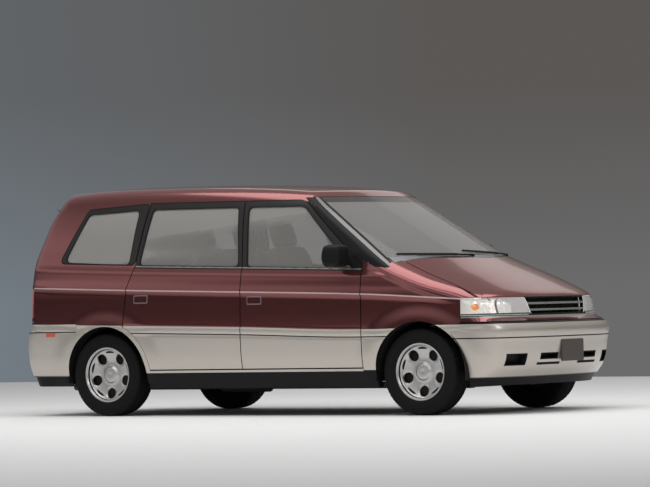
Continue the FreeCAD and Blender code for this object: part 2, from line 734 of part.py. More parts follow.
def nose_box(low, high, back=0.0):
    return box(HEADLAMP_REAR_X - back, REACH + OVERRUN, -WIDTH, WIDTH, low, high)


def lamp_prism(offset):
    """Left headlamp seen from the front, its inner edge slanted."""
    outline = [(HEADLAMP_INNER_TOP_Y, LAMP_TOP), (HEADLAMP_INNER_FOOT_Y, LAMP_BOTTOM), (HALF, LAMP_BOTTOM),
               (HALF, LAMP_TOP)]
    points = [V(HEADLAMP_REAR_X - offset, y, z) for y, z in grown(outline, offset)]
    return Part.Face(Part.makePolygon(points + points[:1])).extrude(V(REACH, 0, 0))


def bonnet(front):
    return solids(front.common(hood_prism(0.0)))


def wings(front):
    """Both front wings, each from the door cut to the headlamp."""
    shape = front.cut(hood_prism(PANEL_GAP)).cut(nose_box(0.0, LAMP_TOP + HOOD_LIFT, SEAT_GAP))
    shape = shape.cut(box(FRONT_AXLE_X, 2 * REACH, -WIDTH, WIDTH, 0.0, BUMPER_TOP + SEAM))
    shape = shape.cut(front_arch()).cut(cowl_prism(SEAT_GAP))
    shape = shape.common(box(DOOR_FRONT_X + GAP, REACH, -WIDTH, WIDTH, FOOT_Z, HEIGHT))
    return solids(shape)


def cowl_prism(offset):
    """The scuttle behind the bonnet, between the wings."""
    points = hood_rear_edge(PANEL_GAP)
    width = HOOD_HALF_REAR + offset
    rear = Part.BSplineCurve()
    rear.interpolate([V(p.x + offset, p.y * width / (HOOD_HALF_REAR + PANEL_GAP), LAMP_TOP)
                      for p in points])
    back = [V(DOOR_FRONT_X + COWL_BACK, width, LAMP_TOP), V(DOOR_FRONT_X + COWL_BACK, -width, LAMP_TOP)]
    ends = rear.toShape().Vertexes
    edges = [rear.toShape(), Part.makeLine(ends[1].Point, back[0]), Part.makeLine(back[0], back[1]),
             Part.makeLine(back[1], ends[0].Point)]
    return Part.Face(Part.Wire(edges)).extrude(V(0, 0, HEIGHT))


def cowl(front, nose):
    """The scuttle, with the leaves that carry the bonnet's rear corners."""
    edge = HOOD_REAR_X - HOOD_REAR_SAG * (BONNET_HINGE_Y / HALF) ** HOOD_REAR_POWER
    leaf = box(edge - HINGE_TALL / 2, edge + HINGE_TALL / 2, BONNET_HINGE_Y - HINGE_WIDE, BONNET_HINGE_Y,
               BELT_Z / 2, HEIGHT)
    under = moved(nose, V(0, 0, -HINGE_SET))
    plate = leaf.common(moved(nose, V(0, 0, -SEAT_GAP))).cut(under)
    root = leaf.common(nose).cut(under).common(box(0.0, edge - 2 * PANEL_GAP, -WIDTH, WIDTH, 0.0, HEIGHT))
    return solids(front.common(cowl_prism(0.0)).multiFuse([plate, root, mirror(plate), mirror(root)]))


def nose_panel(front):
    return solids(front.common(nose_box(BUMPER_TOP + SEAM, LAMP_BOTTOM - SEAT_GAP)))


def headlamps(front):
    return both(solids(front.common(nose_box(LAMP_BOTTOM, LAMP_TOP)).common(lamp_prism(0.0))))


def grille(front):
    """Frame and level bars between the headlamps, with a dark plate behind."""
    block = front.common(nose_box(LAMP_BOTTOM, LAMP_TOP)).cut(both(lamp_prism(SEAT_GAP)))
    slots = []
    pitch = (LAMP_TOP - LAMP_BOTTOM - GRILLE_FRAME) / GRILLE_GAPS
    for i in range(GRILLE_GAPS):
        low = LAMP_BOTTOM + GRILLE_FRAME + i * pitch
        half = HEADLAMP_INNER_FOOT_Y - GRILLE_FRAME
        slots.append(box(0.0, REACH + OVERRUN, -half, half, low, low + pitch - GRILLE_BAR))
    recess = behind_front(GRILLE_RECESS)
    return solids(block.cut(Part.makeCompound(slots).cut(recess)))


def front_bumper(front):
    band = box(FRONT_AXLE_X, REACH + OVERRUN, -WIDTH, WIDTH, FOOT_Z, BUMPER_TOP)
    shape = front.common(band).cut(front_arch())
    outline = [(INTAKE_INNER_Y, INTAKE_BOTTOM), (INTAKE_OUTER_Y - INTAKE_SLANT, INTAKE_BOTTOM),
               (INTAKE_OUTER_Y, INTAKE_TOP), (INTAKE_INNER_Y, INTAKE_TOP)]
    slot = end_prism(outline, PLATE_MARGIN, 0.0, REACH + OVERRUN)
    pocket = plate_pocket(PLATE_FRONT_X - PLATE_SKIN - SEAT_GAP, REACH + OVERRUN)
    return solids(shape.cut(both(slot)).cut(pocket))


def number_plates():
    """Blank plates, let into the middle of both bumpers."""
    front = box(PLATE_FRONT_X - PLATE_SKIN, PLATE_FRONT_X, -PLATE_HALF, PLATE_HALF, PLATE_BOTTOM, PLATE_TOP)
    rear = box(PLATE_REAR_X, PLATE_REAR_X + PLATE_SKIN, -PLATE_HALF, PLATE_HALF, PLATE_BOTTOM, PLATE_TOP)
    return Part.makeCompound([front, rear])


def plate_pocket(face, end):
    """Shallow recess behind a plate, from its back face out past the bumper."""
    low, high = sorted((face, end))
    return box(low, high, -PLATE_HALF - PLATE_MARGIN, PLATE_HALF + PLATE_MARGIN,
               PLATE_BOTTOM - PLATE_MARGIN, PLATE_TOP + PLATE_MARGIN)


def door_mirror(outer):
    """Left mirror housing on its stem and sail, seated on the door at the window's front corner."""
    wall = wall_y(MIRROR_X1, MIRROR_BOTTOM) + SEAT_GAP
    shell = soft_box(MIRROR_X0, MIRROR_X1, wall + MIRROR_STEM, MIRROR_REACH, MIRROR_BOTTOM, MIRROR_TOP,
                     MIRROR_ROUND)
    foot = box(MIRROR_X0 - MIRROR_STEM, MIRROR_X0 + MIRROR_STEM, HALF / 2, wall + 2 * MIRROR_STEM,
               MIRROR_BOTTOM + MIRROR_ROUND,
               MIRROR_BOTTOM + 2 * (MIRROR_ROUND + MIRROR_STEM) - MIRROR_ROUND)
    sail = side_prism(in_shares(MIRROR_SAIL_SHARES), SEAM, 0.0, WIDTH).common(shifted_wall(-HINGE_SET))
    return solids(shell.multiFuse([foot, sail]).cut(moved(outer, V(0, SEAT_GAP, 0))))


# Floor, wheel housings and bulkhead
def wheel_tub(axle_x, shift, inner_y, low, room):
    """Closed tub over one left wheel, out to the inner face of the body side."""
    def drum(radius, y0):
        return Part.makeCylinder(radius, WIDTH - y0, V(axle_x + shift, y0, ARCH_Z), V(0, 1, 0))
    tub = drum(ARCH_RADIUS + HOUSING_SKIN, inner_y - HOUSING_SKIN).cut(drum(ARCH_RADIUS, inner_y))
    above = box(-REACH, REACH, 0.0, WIDTH, low, HEIGHT)
    return tub.common(above).common(room)


def wheel_room(axle_x, shift, inner_y):
    """Space of both wheels on one axle that the floor keeps clear of."""
    drum = Part.makeCylinder(ARCH_RADIUS, WIDTH, V(axle_x + shift, inner_y, ARCH_Z), V(0, 1, 0))
    return both(drum)


def rails(low, high, x0, x1, room):
    beam = box(x0, x1, RAIL_Y - RAIL_HALF, RAIL_Y + RAIL_HALF, low, high)
    return both(beam.common(room))


def floor_pan(room, nose):
    """Main floor, raised rear floor, bulkhead, wheel tubs and rails in one."""
    low = FLOOR_Z - FLOOR_DEPTH
    rear_low = REAR_FLOOR_Z - FLOOR_DEPTH
    plates = [box(REAR_FLOOR_X, DOOR_FRONT_X + GAP, -WIDTH, WIDTH, low, FLOOR_Z),
              box(-REACH, REAR_FLOOR_X, -WIDTH, WIDTH, rear_low, REAR_FLOOR_Z),
              box(REAR_FLOOR_X - RISER, REAR_FLOOR_X, -WIDTH, WIDTH, low, REAR_FLOOR_Z)]
    floor = room.common(plates[0].fuse(plates[1:])).cut(wheel_room(REAR_AXLE_X, REAR_ARCH_SHIFT,
                                                                   HOUSING_REAR_Y))
    wall = nose.common(box(DOOR_FRONT_X + GAP, DOOR_FRONT_X + GAP + BULKHEAD, -WIDTH, WIDTH, low,
                           BULKHEAD_TOP))
    edge = wall_y(DOOR_FRONT_X, HINGE_HEIGHTS[0]) - HINGE_SET
    pieces = [wall]
    for leaf in leaves(DOOR_FRONT_X - GAP + SEAT_GAP, DOOR_FRONT_X + 2 * GAP, edge - 2 * HINGE_WIDE, edge,
                       HINGE_HEIGHTS, HINGE_TALL):
        leaf = leaf.cut(box(DOOR_FRONT_X + GAP, LENGTH, 0.0, WIDTH, 0.0, HEIGHT).cut(nose))
        pieces += [leaf, mirror(leaf)]
    over_axle = TYRE_RADIUS + AXLE_RADIUS + SEAM
    for tub in (wheel_tub(REAR_AXLE_X, REAR_ARCH_SHIFT, HOUSING_REAR_Y, over_axle, room),
                wheel_tub(FRONT_AXLE_X, FRONT_ARCH_SHIFT, HOUSING_FRONT_Y, low, nose)):
        pieces += [tub, mirror(tub)]
    pieces += rails(low - RAIL_HEIGHT, low, REAR_FLOOR_X, DOOR_FRONT_X + 2 * GAP, room).Solids
    pieces += rails(low - RAIL_HEIGHT, low, DOOR_FRONT_X, REACH, nose).Solids
    pieces += rails(rear_low - RAIL_HEIGHT, rear_low, -REACH, REAR_FLOOR_X, room).Solids
    return solids(floor.multiFuse(pieces))


def radiator_frame():
    """Upright frame with the radiator, standing on the rails behind the grille."""
    low = FLOOR_Z - FLOOR_DEPTH + SEAT_GAP
    front = RADIATOR_X + RADIATOR_DEPTH
    frame = box(RADIATOR_X, front, -RADIATOR_HALF, RADIATOR_HALF, low, RADIATOR_TOP)
    window = box(RADIATOR_X, front, -RADIATOR_HALF + RAIL_HALF, RADIATOR_HALF - RAIL_HALF, low + RAIL_HALF,
                 RADIATOR_TOP - RAIL_HALF)
    core = window.common(box(RADIATOR_X + SEAM, front - SEAM, -RADIATOR_HALF, RADIATOR_HALF, low,
                             RADIATOR_TOP))
    return frame.cut(window).fuse(core)


def engine():
    """Engine and gearbox as one plain block on mounts between the rails."""
    block = box(ENGINE_REAR_X, ENGINE_FRONT_X, -ENGINE_HALF, ENGINE_HALF, ENGINE_BOTTOM, ENGINE_TOP)
    reach = RAIL_Y - RAIL_HALF - SEAT_GAP
    mounts = box(ENGINE_MOUNT_X, ENGINE_MOUNT_X + 2 * RAIL_HALF, -reach, reach, ENGINE_BOTTOM,
                 FLOOR_Z - FLOOR_DEPTH)
    return block.fuse(mounts)


# The cabin: dashboard, steering and seats
def steering_axis():
    lean = math.radians(STEERING_LEAN_DEG)
    return V(-math.cos(lean), 0, math.sin(lean))


def steering_column(radius, start):
    axis = steering_axis()
    top = V(STEERING_X, DRIVER_Y, STEERING_Z) - axis * start
    return Part.makeCylinder(radius, COLUMN_LENGTH, top, axis * -1)


def dashboard():
    """Dashboard with the hood over its instruments, and the column that comes out of it."""
    back = DOOR_FRONT_X + GAP - SEAT_GAP
    outline = [(back, DASH_TOP_SHARE * HEIGHT)] + in_shares(DASH_SHARES) + [(back,
                                                                             DASH_FOOT_SHARE * HEIGHT)]
    body = side_prism(outline, SEAM, -DASH_HALF, DASH_HALF)
    hood = side_prism(in_shares(CLUSTER_SHARES), CORNER_RADIUS, DRIVER_Y - CLUSTER_HALF,
                      DRIVER_Y + CLUSTER_HALF)
    return body.multiFuse([hood, steering_column(COLUMN_RADIUS, STEERING_HUB + SEAT_GAP)])


def steering_wheel():
    axis = steering_axis()
    centre = V(STEERING_X, DRIVER_Y, STEERING_Z)
    rim = Part.makeTorus(STEERING_RADIUS, STEERING_RIM, centre, axis)
    hub = Part.makeCylinder(STEERING_BOSS, STEERING_HUB + STEERING_RIM, centre - axis * STEERING_HUB, axis)
    side = V(0, 1, 0)
    down = axis.cross(side)
    if down.z > 0:
        down = down * -1
    spokes = []
    for turn in SPOKE_TURNS_DEG:
        angle = math.radians(turn)
        way = side * math.cos(angle) + down * math.sin(angle)
        spokes.append(Part.makeCylinder(STEERING_RIM * SPOKE_SHARE, STEERING_RADIUS, centre, way))
    return hub.multiFuse([rim] + spokes)


def soft_box(x0, x1, y0, y1, z0, z1, radius):
    block = box(x0, x1, y0, y1, z0, z1)
    return block.makeFillet(radius, block.Edges)


def leaning(x, z, low, front):
    """Point of a seat back, x ahead of and z above its hip line, leant rearwards."""
    lean = math.radians(BACK_LEAN_DEG)
    return (front + x * math.cos(lean) - z * math.sin(lean), low + x * math.sin(lean) + z * math.cos(lean))


def seat(x, y, half, low, rests):
    """One seat: cushion with its front at x, leaning back and headrests on posts."""
    hip = (x - SEAT_LENGTH + SEAT_THICK, low + SEAT_THICK)
    outline = [(x, low), (x, hip[1]), hip, leaning(0.0, BACK_HEIGHT, hip[1], hip[0]),
               leaning(-BACK_THICK, BACK_HEIGHT, hip[1], hip[0]), leaning(-BACK_THICK, 0.0, hip[1], hip[0]),
               (x - SEAT_LENGTH, low)]
    pieces = []
    for at in rests:
        width = min(half * HEADREST_SHARE, HEADREST_HALF)
        foot = BACK_HEIGHT + HEADREST_POST
        corners = [leaning(a - HEADREST_THICK, foot + b, hip[1], hip[0])
                   for a, b in ((0.0, 0.0), (HEADREST_THICK, 0.0), (HEADREST_THICK, HEADREST_HEIGHT),
                                (0.0, HEADREST_HEIGHT))]
        pieces.append(side_prism(corners, SEAT_ROUND, at - width, at + width))
        for side in (-1, 1):
            middle = leaning(-HEADREST_THICK / 2, BACK_HEIGHT - SEAT_ROUND, hip[1], hip[0])
            up = leaning(-HEADREST_THICK / 2, foot + SEAT_ROUND, hip[1], hip[0])
            start = V(middle[0], at + side * width / 2, middle[1])
            way = V(up[0], at + side * width / 2, up[1]) - start
            pieces.append(Part.makeCylinder(HEADREST_POST, way.Length, start, way))
    return side_prism(outline, SEAT_ROUND, y - half, y + half).multiFuse(pieces)


def front_seats():
    return both(seat(FRONT_SEAT_X, DRIVER_Y, SEAT_HALF, SEAT_Z, [DRIVER_Y]))


def middle_seats():
    return both(seat(MIDDLE_SEAT_X, BENCH_HALF / 2, BENCH_HALF / 2 - SEAT_GAP, SEAT_Z, [BENCH_HALF / 2]))


def rear_bench():
    rests = [-BENCH_HALF / 2, BENCH_HALF / 2]
    return seat(REAR_SEAT_X, 0.0, BENCH_HALF, REAR_SEAT_Z, rests)


def seat_frames():
    """Boxed pedestals that carry the three rows on the floor."""
    places = [(FRONT_SEAT_X, DRIVER_Y, SEAT_HALF, FLOOR_Z, SEAT_Z),
              (FRONT_SEAT_X, -DRIVER_Y, SEAT_HALF, FLOOR_Z, SEAT_Z),
              (MIDDLE_SEAT_X, 0.0, BENCH_HALF, FLOOR_Z, SEAT_Z),
              (REAR_SEAT_X, 0.0, BENCH_HALF, REAR_FLOOR_Z, REAR_SEAT_Z)]
    frames = []
    for x, y, half, low, high in places:
        frames.append(box(x - SEAT_LENGTH + 2 * SEAT_ROUND, x - 2 * SEAT_ROUND, y - half + 2 * SEAT_ROUND,
                          y + half - 2 * SEAT_ROUND, low + SEAT_GAP, high - SEAT_GAP))
    return Part.makeCompound(frames)


# Wheels, tyres and axles, drawn for a left wheel around its own centre
def revolve(points):
    """Ring turned about the Y axis from (radius, y) points."""
    wire = Part.makePolygon([V(r, y, 0) for r, y in points + points[:1]])
    return Part.Face(wire).revolve(V(0, 0, 0), V(0, 1, 0), 360)


def tyre():
    half = TYRE_WIDTH / 2
    bead = RIM_WIDTH / 2 - BEAD_SET
    side = [(RIM_RADIUS + SEAT_GAP, bead - LIP_SKIN), (RIM_LIP + SEAT_GAP, bead - LIP_SKIN),
            (RIM_LIP + BEAD_SET, bead), (TYRE_RADIUS * BULGE_SHARE, half),
            (TYRE_RADIUS * SHOULDER_SHARE, half - BEAD_SET), (TYRE_RADIUS, half * TREAD_SHARE)]
    return revolve(side + [(r, -y) for r, y in reversed(side)])


def wheel():
    """Alloy wheel with five round holes and five narrow slots."""
    half = RIM_WIDTH / 2
    barrel = RIM_RADIUS - BARREL_SKIN
    drop = RIM_RADIUS - RIM_DROP
    seat_y = half - LIP_SKIN - BEAD_SET
    outer = [(RIM_LIP, half), (RIM_LIP, half - LIP_SKIN), (RIM_RADIUS, seat_y), (drop, 0.0)]
    inner = [(drop - BARREL_SKIN, 0.0), (barrel, half)]
    rim = revolve(outer + [(r, -y) for r, y in reversed(outer[:-1])] + [(barrel, -half)] + inner)
    dish = DISC_Y + DISC_DISH
    flat = RIM_RADIUS * DISC_FLAT_SHARE
    root = barrel - BARREL_SKIN / 2
    disc = revolve([(0.0, dish), (flat, dish), (root, DISC_Y), (root, DISC_Y - DISC_SKIN),
                    (flat, dish - DISC_SKIN), (0.0, dish - DISC_SKIN)])
    cuts = []
    for i in range(WHEEL_HOLES):
        turn = 360 * i / WHEEL_HOLES
        hole = Part.makeCylinder(RIM_RADIUS * HOLE_RADIUS_SHARE, RIM_WIDTH,
                                 V(0, 0, -RIM_RADIUS * HOLE_PLACE_SHARE), V(0, 1, 0))
        slot = box(-SLOT_HALF, SLOT_HALF, 0.0, RIM_WIDTH, RIM_RADIUS * SLOT_SHARES[0],
                   RIM_RADIUS * SLOT_SHARES[1])
        for cut in (hole, slot):
            cut.rotate(V(0, 0, 0), V(0, 1, 0), turn)
            cuts.append(cut)
    return rim.fuse(disc.cut(Part.makeCompound(cuts)))


def at_corner(shape, axle_x, track, side):
    """A left wheel's piece moved to its corner; the right one is mirrored."""
    piece = shape.copy()
    piece.translate(V(axle_x, track / 2, TYRE_RADIUS))
    return piece if side > 0 else mirror(piece)


def king_y(z):
    """Left steering axis, leaning inwards to the strut's top."""
    return KING_LOW_Y + (KING_TOP_Y - KING_LOW_Y) * (z - KING_LOW_Z) / (KING_TOP_Z - KING_LOW_Z)


def hub_end():
    return DISC_Y + DISC_DISH - DISC_SKIN - SEAT_GAP


def knuckle():
    """Upright with the hub that carries a steered left wheel."""
    y = FRONT_TRACK / 2
    root = y - HUB_REACH
    hub = Part.makeCylinder(HUB_RADIUS, hub_end() + HUB_REACH, V(FRONT_AXLE_X, root, TYRE_RADIUS),
                            V(0, 1, 0))
    low = box(FRONT_AXLE_X - POST_HALF, FRONT_AXLE_X + POST_HALF, KING_LOW_Y - POST_HALF,
              KING_LOW_Y + POST_HALF, KING_LOW_Z + 2 * SEAM, TYRE_RADIUS)
    way = V(0, KING_TOP_Y - KING_LOW_Y, KING_TOP_Z - KING_LOW_Z).normalize()
    lift = BALL_RADIUS * math.sin(V(0, 0, 1).getAngle(way)) + SEAT_GAP
    ball = Part.makeCylinder(BALL_RADIUS, TYRE_RADIUS - KING_LOW_Z,
                             V(FRONT_AXLE_X, KING_LOW_Y, KING_LOW_Z) + way * lift, way)
    outline = [(king_y(KNUCKLE_TOP_Z) - POST_HALF, KNUCKLE_TOP_Z),
               (king_y(KNUCKLE_TOP_Z) + POST_HALF, KNUCKLE_TOP_Z), (root + 2 * POST_HALF, TYRE_RADIUS),
               (root, TYRE_RADIUS)]
    points = [V(FRONT_AXLE_X - POST_HALF, a, b) for a, b in outline]
    post = Part.Face(Part.makePolygon(points + points[:1])).extrude(V(2 * POST_HALF, 0, 0))
    return hub.multiFuse([low, ball, post])


def front_suspension():
    """Crossmember, lower arms and struts that carry the knuckles."""
    low = KING_LOW_Z - ARM_SKIN
    top = FLOOR_Z - FLOOR_DEPTH - RAIL_HEIGHT - SEAT_GAP
    reach = RAIL_Y + RAIL_HALF
    cross = box(FRONT_AXLE_X - CROSS_HALF, FRONT_AXLE_X + CROSS_HALF, -reach, reach, low, top)
    points = [V(FRONT_AXLE_X - ARM_ROOT, reach - CROSS_HALF, low),
              V(FRONT_AXLE_X + ARM_ROOT, reach - CROSS_HALF, low),
              V(FRONT_AXLE_X + POST_HALF, KING_LOW_Y + POST_HALF, low),
              V(FRONT_AXLE_X - POST_HALF, KING_LOW_Y + POST_HALF, low)]
    arm = Part.Face(Part.makePolygon(points + points[:1])).extrude(V(0, 0, ARM_SKIN))
    pad = box(FRONT_AXLE_X - ARM_ROOT, FRONT_AXLE_X + ARM_ROOT, reach - CROSS_HALF, reach, low, top)
    foot = V(FRONT_AXLE_X, king_y(KNUCKLE_TOP_Z), KNUCKLE_TOP_Z)
    way = V(0, KING_TOP_Y - KING_LOW_Y, KING_TOP_Z - KING_LOW_Z).normalize()
    ceiling = ARCH_Z + math.sqrt(ARCH_RADIUS ** 2 - (FRONT_ARCH_SHIFT + STRUT_RADIUS) ** 2)
    lift = STRUT_RADIUS * math.sin(V(0, 0, 1).getAngle(way)) + SEAT_GAP
    foot = foot + way * lift
    strut = Part.makeCylinder(STRUT_RADIUS, (ceiling - foot.z - lift) / way.z, foot, way)
    return Part.makeCompound([cross.multiFuse([arm, mirror(arm), pad, mirror(pad)]), strut, mirror(strut)])


def rear_axle():
    """Live axle with its differential, springs, links and propeller shaft."""
    end = REAR_TRACK / 2 + hub_end()
    tube = Part.makeCylinder(AXLE_RADIUS, 2 * end, V(REAR_AXLE_X, -end, TYRE_RADIUS), V(0, 1, 0))
    pieces = [Part.makeSphere(DIFF_RADIUS, V(REAR_AXLE_X, 0, TYRE_RADIUS)),
              Part.makeCylinder(SHAFT_RADIUS, ENGINE_REAR_X - REAR_AXLE_X - SEAT_GAP,
                                V(REAR_AXLE_X, 0, SHAFT_Z), V(1, 0, 0))]
    spring_top = REAR_FLOOR_Z - FLOOR_DEPTH - RAIL_HEIGHT - SEAT_GAP
    for side in (-1, 1):
        pieces.append(Part.makeCylinder(HUB_RADIUS, HUB_RADIUS, V(REAR_AXLE_X, side * end, TYRE_RADIUS),
                                        V(0, -side, 0)))
        pieces.append(box(REAR_AXLE_X, REAR_AXLE_X + LINK_LENGTH, side * LINK_Y - LINK_HALF,
                          side * LINK_Y + LINK_HALF, TYRE_RADIUS - AXLE_RADIUS - LINK_HALF,
                          TYRE_RADIUS - AXLE_RADIUS + LINK_HALF))
        pieces.append(Part.makeCylinder(SPRING_RADIUS, spring_top - TYRE_RADIUS,
                                        V(REAR_AXLE_X, side * RAIL_Y, TYRE_RADIUS)))
    return tube.multiFuse(pieces)


def fuel_tank():
    block = box(TANK_X0, TANK_X1, TANK_Y0, TANK_Y1, TANK_BOTTOM, FLOOR_Z - FLOOR_DEPTH - SEAT_GAP)
    return block.makeFillet(CORNER_RADIUS, [e for e in block.Edges if abs(e.BoundBox.ZLength) > SEAM])


def exhaust():
    """Pipe from the engine with its silencer, hung under the floor."""
    start = ENGINE_REAR_X + 2 * PIPE_RADIUS
    pipe = Part.makeCylinder(PIPE_RADIUS, start - TAIL_PIPE_X, V(start, PIPE_Y, PIPE_Z), V(-1, 0, 0))
    riser = Part.makeCylinder(PIPE_RADIUS, ENGINE_BOTTOM - SEAT_GAP - PIPE_Z, V(start, PIPE_Y, PIPE_Z))
    muffler = Part.makeCylinder(MUFFLER_RADIUS, MUFFLER_LENGTH, V(MUFFLER_X, PIPE_Y, MUFFLER_Z), V(1, 0, 0))
    return pipe.multiFuse([riser, muffler])


def put(name, shape):
    shape.exportStep("parts/" + name + ".step")


# Every piece in its own file
def build():
    os.makedirs("parts", exist_ok=True)
    room = cabin_inner()
    outer = cabin_outer()
    wall = outer.cut(room)
    under = under_hood(FIT_GAP)
    nose = hood_block(True).common(behind_front(END_DEPTH))
    front = hood_block(False).common(behind_front(0.0)).cut(nose)
    front = front.common(box(DOOR_FRONT_X + GAP, REACH, -WIDTH, WIDTH, FOOT_Z, HEIGHT))
    put("body_shell", Part.makeCompound(body_shell(wall, under).Solids + pillar_wall().Solids))
    put("floor_pan", floor_pan(room, nose))
    put("wings", wings(front))
    put("bonnet", bonnet(front))
    put("cowl", cowl(front, nose))
    put("nose_panel", nose_panel(front))
    put("headlamps", headlamps(front))
    put("grille", grille(front))
    put("front_bumper", front_bumper(front))
    put("rear_bumper", rear_bumper(wall))
    put("number_plates", number_plates())
    put("tail_lamps", tail_lamps(wall))
    put("windshield", windshield(under))
    put("quarter_windows", both(pane(QUARTER_WINDOW_SHARES)))
    put("liftgate", liftgate(wall))
    put("liftgate_glass", liftgate_glass())
    sides = {"front_door": front_door(wall), "rear_door": rear_door(wall),
             "front_door_glass": pane(FRONT_WINDOW_SHARES), "rear_door_glass": pane(REAR_WINDOW_SHARES),
             "door_mirror": door_mirror(outer), "knuckle": knuckle()}
    for name, shape in sides.items():
        put(name + "_left", shape)
        put(name + "_right", mirror(shape))
    put("radiator", radiator_frame())
    put("engine", engine())
    put("dashboard", dashboard())
    put("steering_wheel", steering_wheel())
    put("front_seats", front_seats())
    put("middle_seats", middle_seats())
    put("rear_bench", rear_bench())
    put("seat_frames", seat_frames())
    put("front_suspension", front_suspension())
    put("rear_axle", rear_axle())
    put("fuel_tank", fuel_tank())
    put("exhaust", exhaust())
    for end, axle_x, track in (("front", FRONT_AXLE_X, FRONT_TRACK), ("rear", REAR_AXLE_X, REAR_TRACK)):
        for name, side in (("left", 1), ("right", -1)):
            put("wheel_" + end + "_" + name, at_corner(wheel(), axle_x, track, side))
            put("tyre_" + end + "_" + name, at_corner(tyre(), axle_x, track, side))


build()
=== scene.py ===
"""Looks of a two-tone minivan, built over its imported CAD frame."""

import logging
import math
from dataclasses import dataclass, field
from enum import Enum, IntEnum
from typing import Callable, Optional, Sequence

import bpy
import numpy as np
from mathutils import Matrix, Vector


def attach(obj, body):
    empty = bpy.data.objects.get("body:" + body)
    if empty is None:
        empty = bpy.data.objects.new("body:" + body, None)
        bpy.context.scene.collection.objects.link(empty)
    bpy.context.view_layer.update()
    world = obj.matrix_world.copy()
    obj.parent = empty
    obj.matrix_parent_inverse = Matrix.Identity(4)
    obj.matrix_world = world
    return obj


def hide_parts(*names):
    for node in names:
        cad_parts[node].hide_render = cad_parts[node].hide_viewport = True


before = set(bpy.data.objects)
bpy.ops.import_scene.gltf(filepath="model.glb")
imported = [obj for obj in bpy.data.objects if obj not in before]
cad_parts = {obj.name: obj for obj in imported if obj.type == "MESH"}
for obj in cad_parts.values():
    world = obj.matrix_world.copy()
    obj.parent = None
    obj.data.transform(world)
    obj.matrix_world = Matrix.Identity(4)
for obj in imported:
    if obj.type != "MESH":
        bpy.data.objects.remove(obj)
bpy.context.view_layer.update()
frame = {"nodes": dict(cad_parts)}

Array = np.ndarray
Pair = tuple[float, float]
Spot = tuple[float, float, float]
Colour = tuple[float, float, float]
Shares = Sequence[Pair]
Corners = Sequence[Pair]
Line = Callable[[Array], Array]
Stops = Sequence[tuple[float, Colour]]

MILLI = 0.001
PLOT_START = 600.0
PLOT_STEPS = 14
LOG = logging.getLogger("minivan")


def monotone(shares: Shares, at: Array) -> Array:
    """Smooth curve through given pairs, straight beyond both ends.

    A cubic is used in each interval; its end slopes are the harmonic means of the
    neighbouring straight slopes, or zero where those change sign.

    Args:
        shares: pairs of place and value, in rising order of place.
        at: places to read.

    Returns:
        The curve's values.
    """
    places, values = np.array(shares, float).T
    steps = np.diff(values) / np.diff(places)
    before, after = steps[:-1], steps[1:]
    total = np.where(before + after == 0, 1, before + after)
    inner = np.where(before * after > 0, 2 * before * after / total, 0)
    slopes = np.concatenate([steps[:1], inner, steps[-1:]])
    at = np.asarray(at, float)
    i = np.clip(np.searchsorted(places, at, side="right") - 1, 0, len(places) - 2)
    width = places[i + 1] - places[i]
    t = (at - places[i]) / width
    cubic = (values[i] + (values[i + 1] - values[i]) * t * t * (3 - 2 * t)
             + width * (slopes[i] * t * (1 - t) ** 2 - slopes[i + 1] * t * t * (1 - t)))
    low = values[0] + slopes[0] * (at - places[0])
    high = values[-1] + slopes[-1] * (at - places[-1])
    return np.where(at < places[0], low, np.where(at > places[-1], high, cubic))


def ease(t: Array) -> Array:
    """Smooth step from 0 to 1: three squares less two cubes of the clipped share."""
    t = np.clip(t, 0.0, 1.0)
    return t * t * (3 - 2 * t)


def tent(distance: Array, up: Array | float, down: float) -> Array:
    """1 at zero distance, falling straight to 0 at `up` above and `down` below."""
    return np.clip(1 - np.where(distance > 0, distance / up, -distance / down), 0, 1)


def stacked(x: Array | float, y: Array | float, z: Array | float) -> Array:
    """Points from three arrays or values that broadcast together."""
    return np.stack(np.broadcast_arrays(x, y, z), -1)


def smooth_max(first: Array, second: Array, radius: float) -> Array:
    """Logarithmic blend of two fields, so that their edge is rounded."""
    top = np.maximum(first, second)
    return top + radius * np.log(np.exp((first - top) / radius) + np.exp((second - top) / radius))


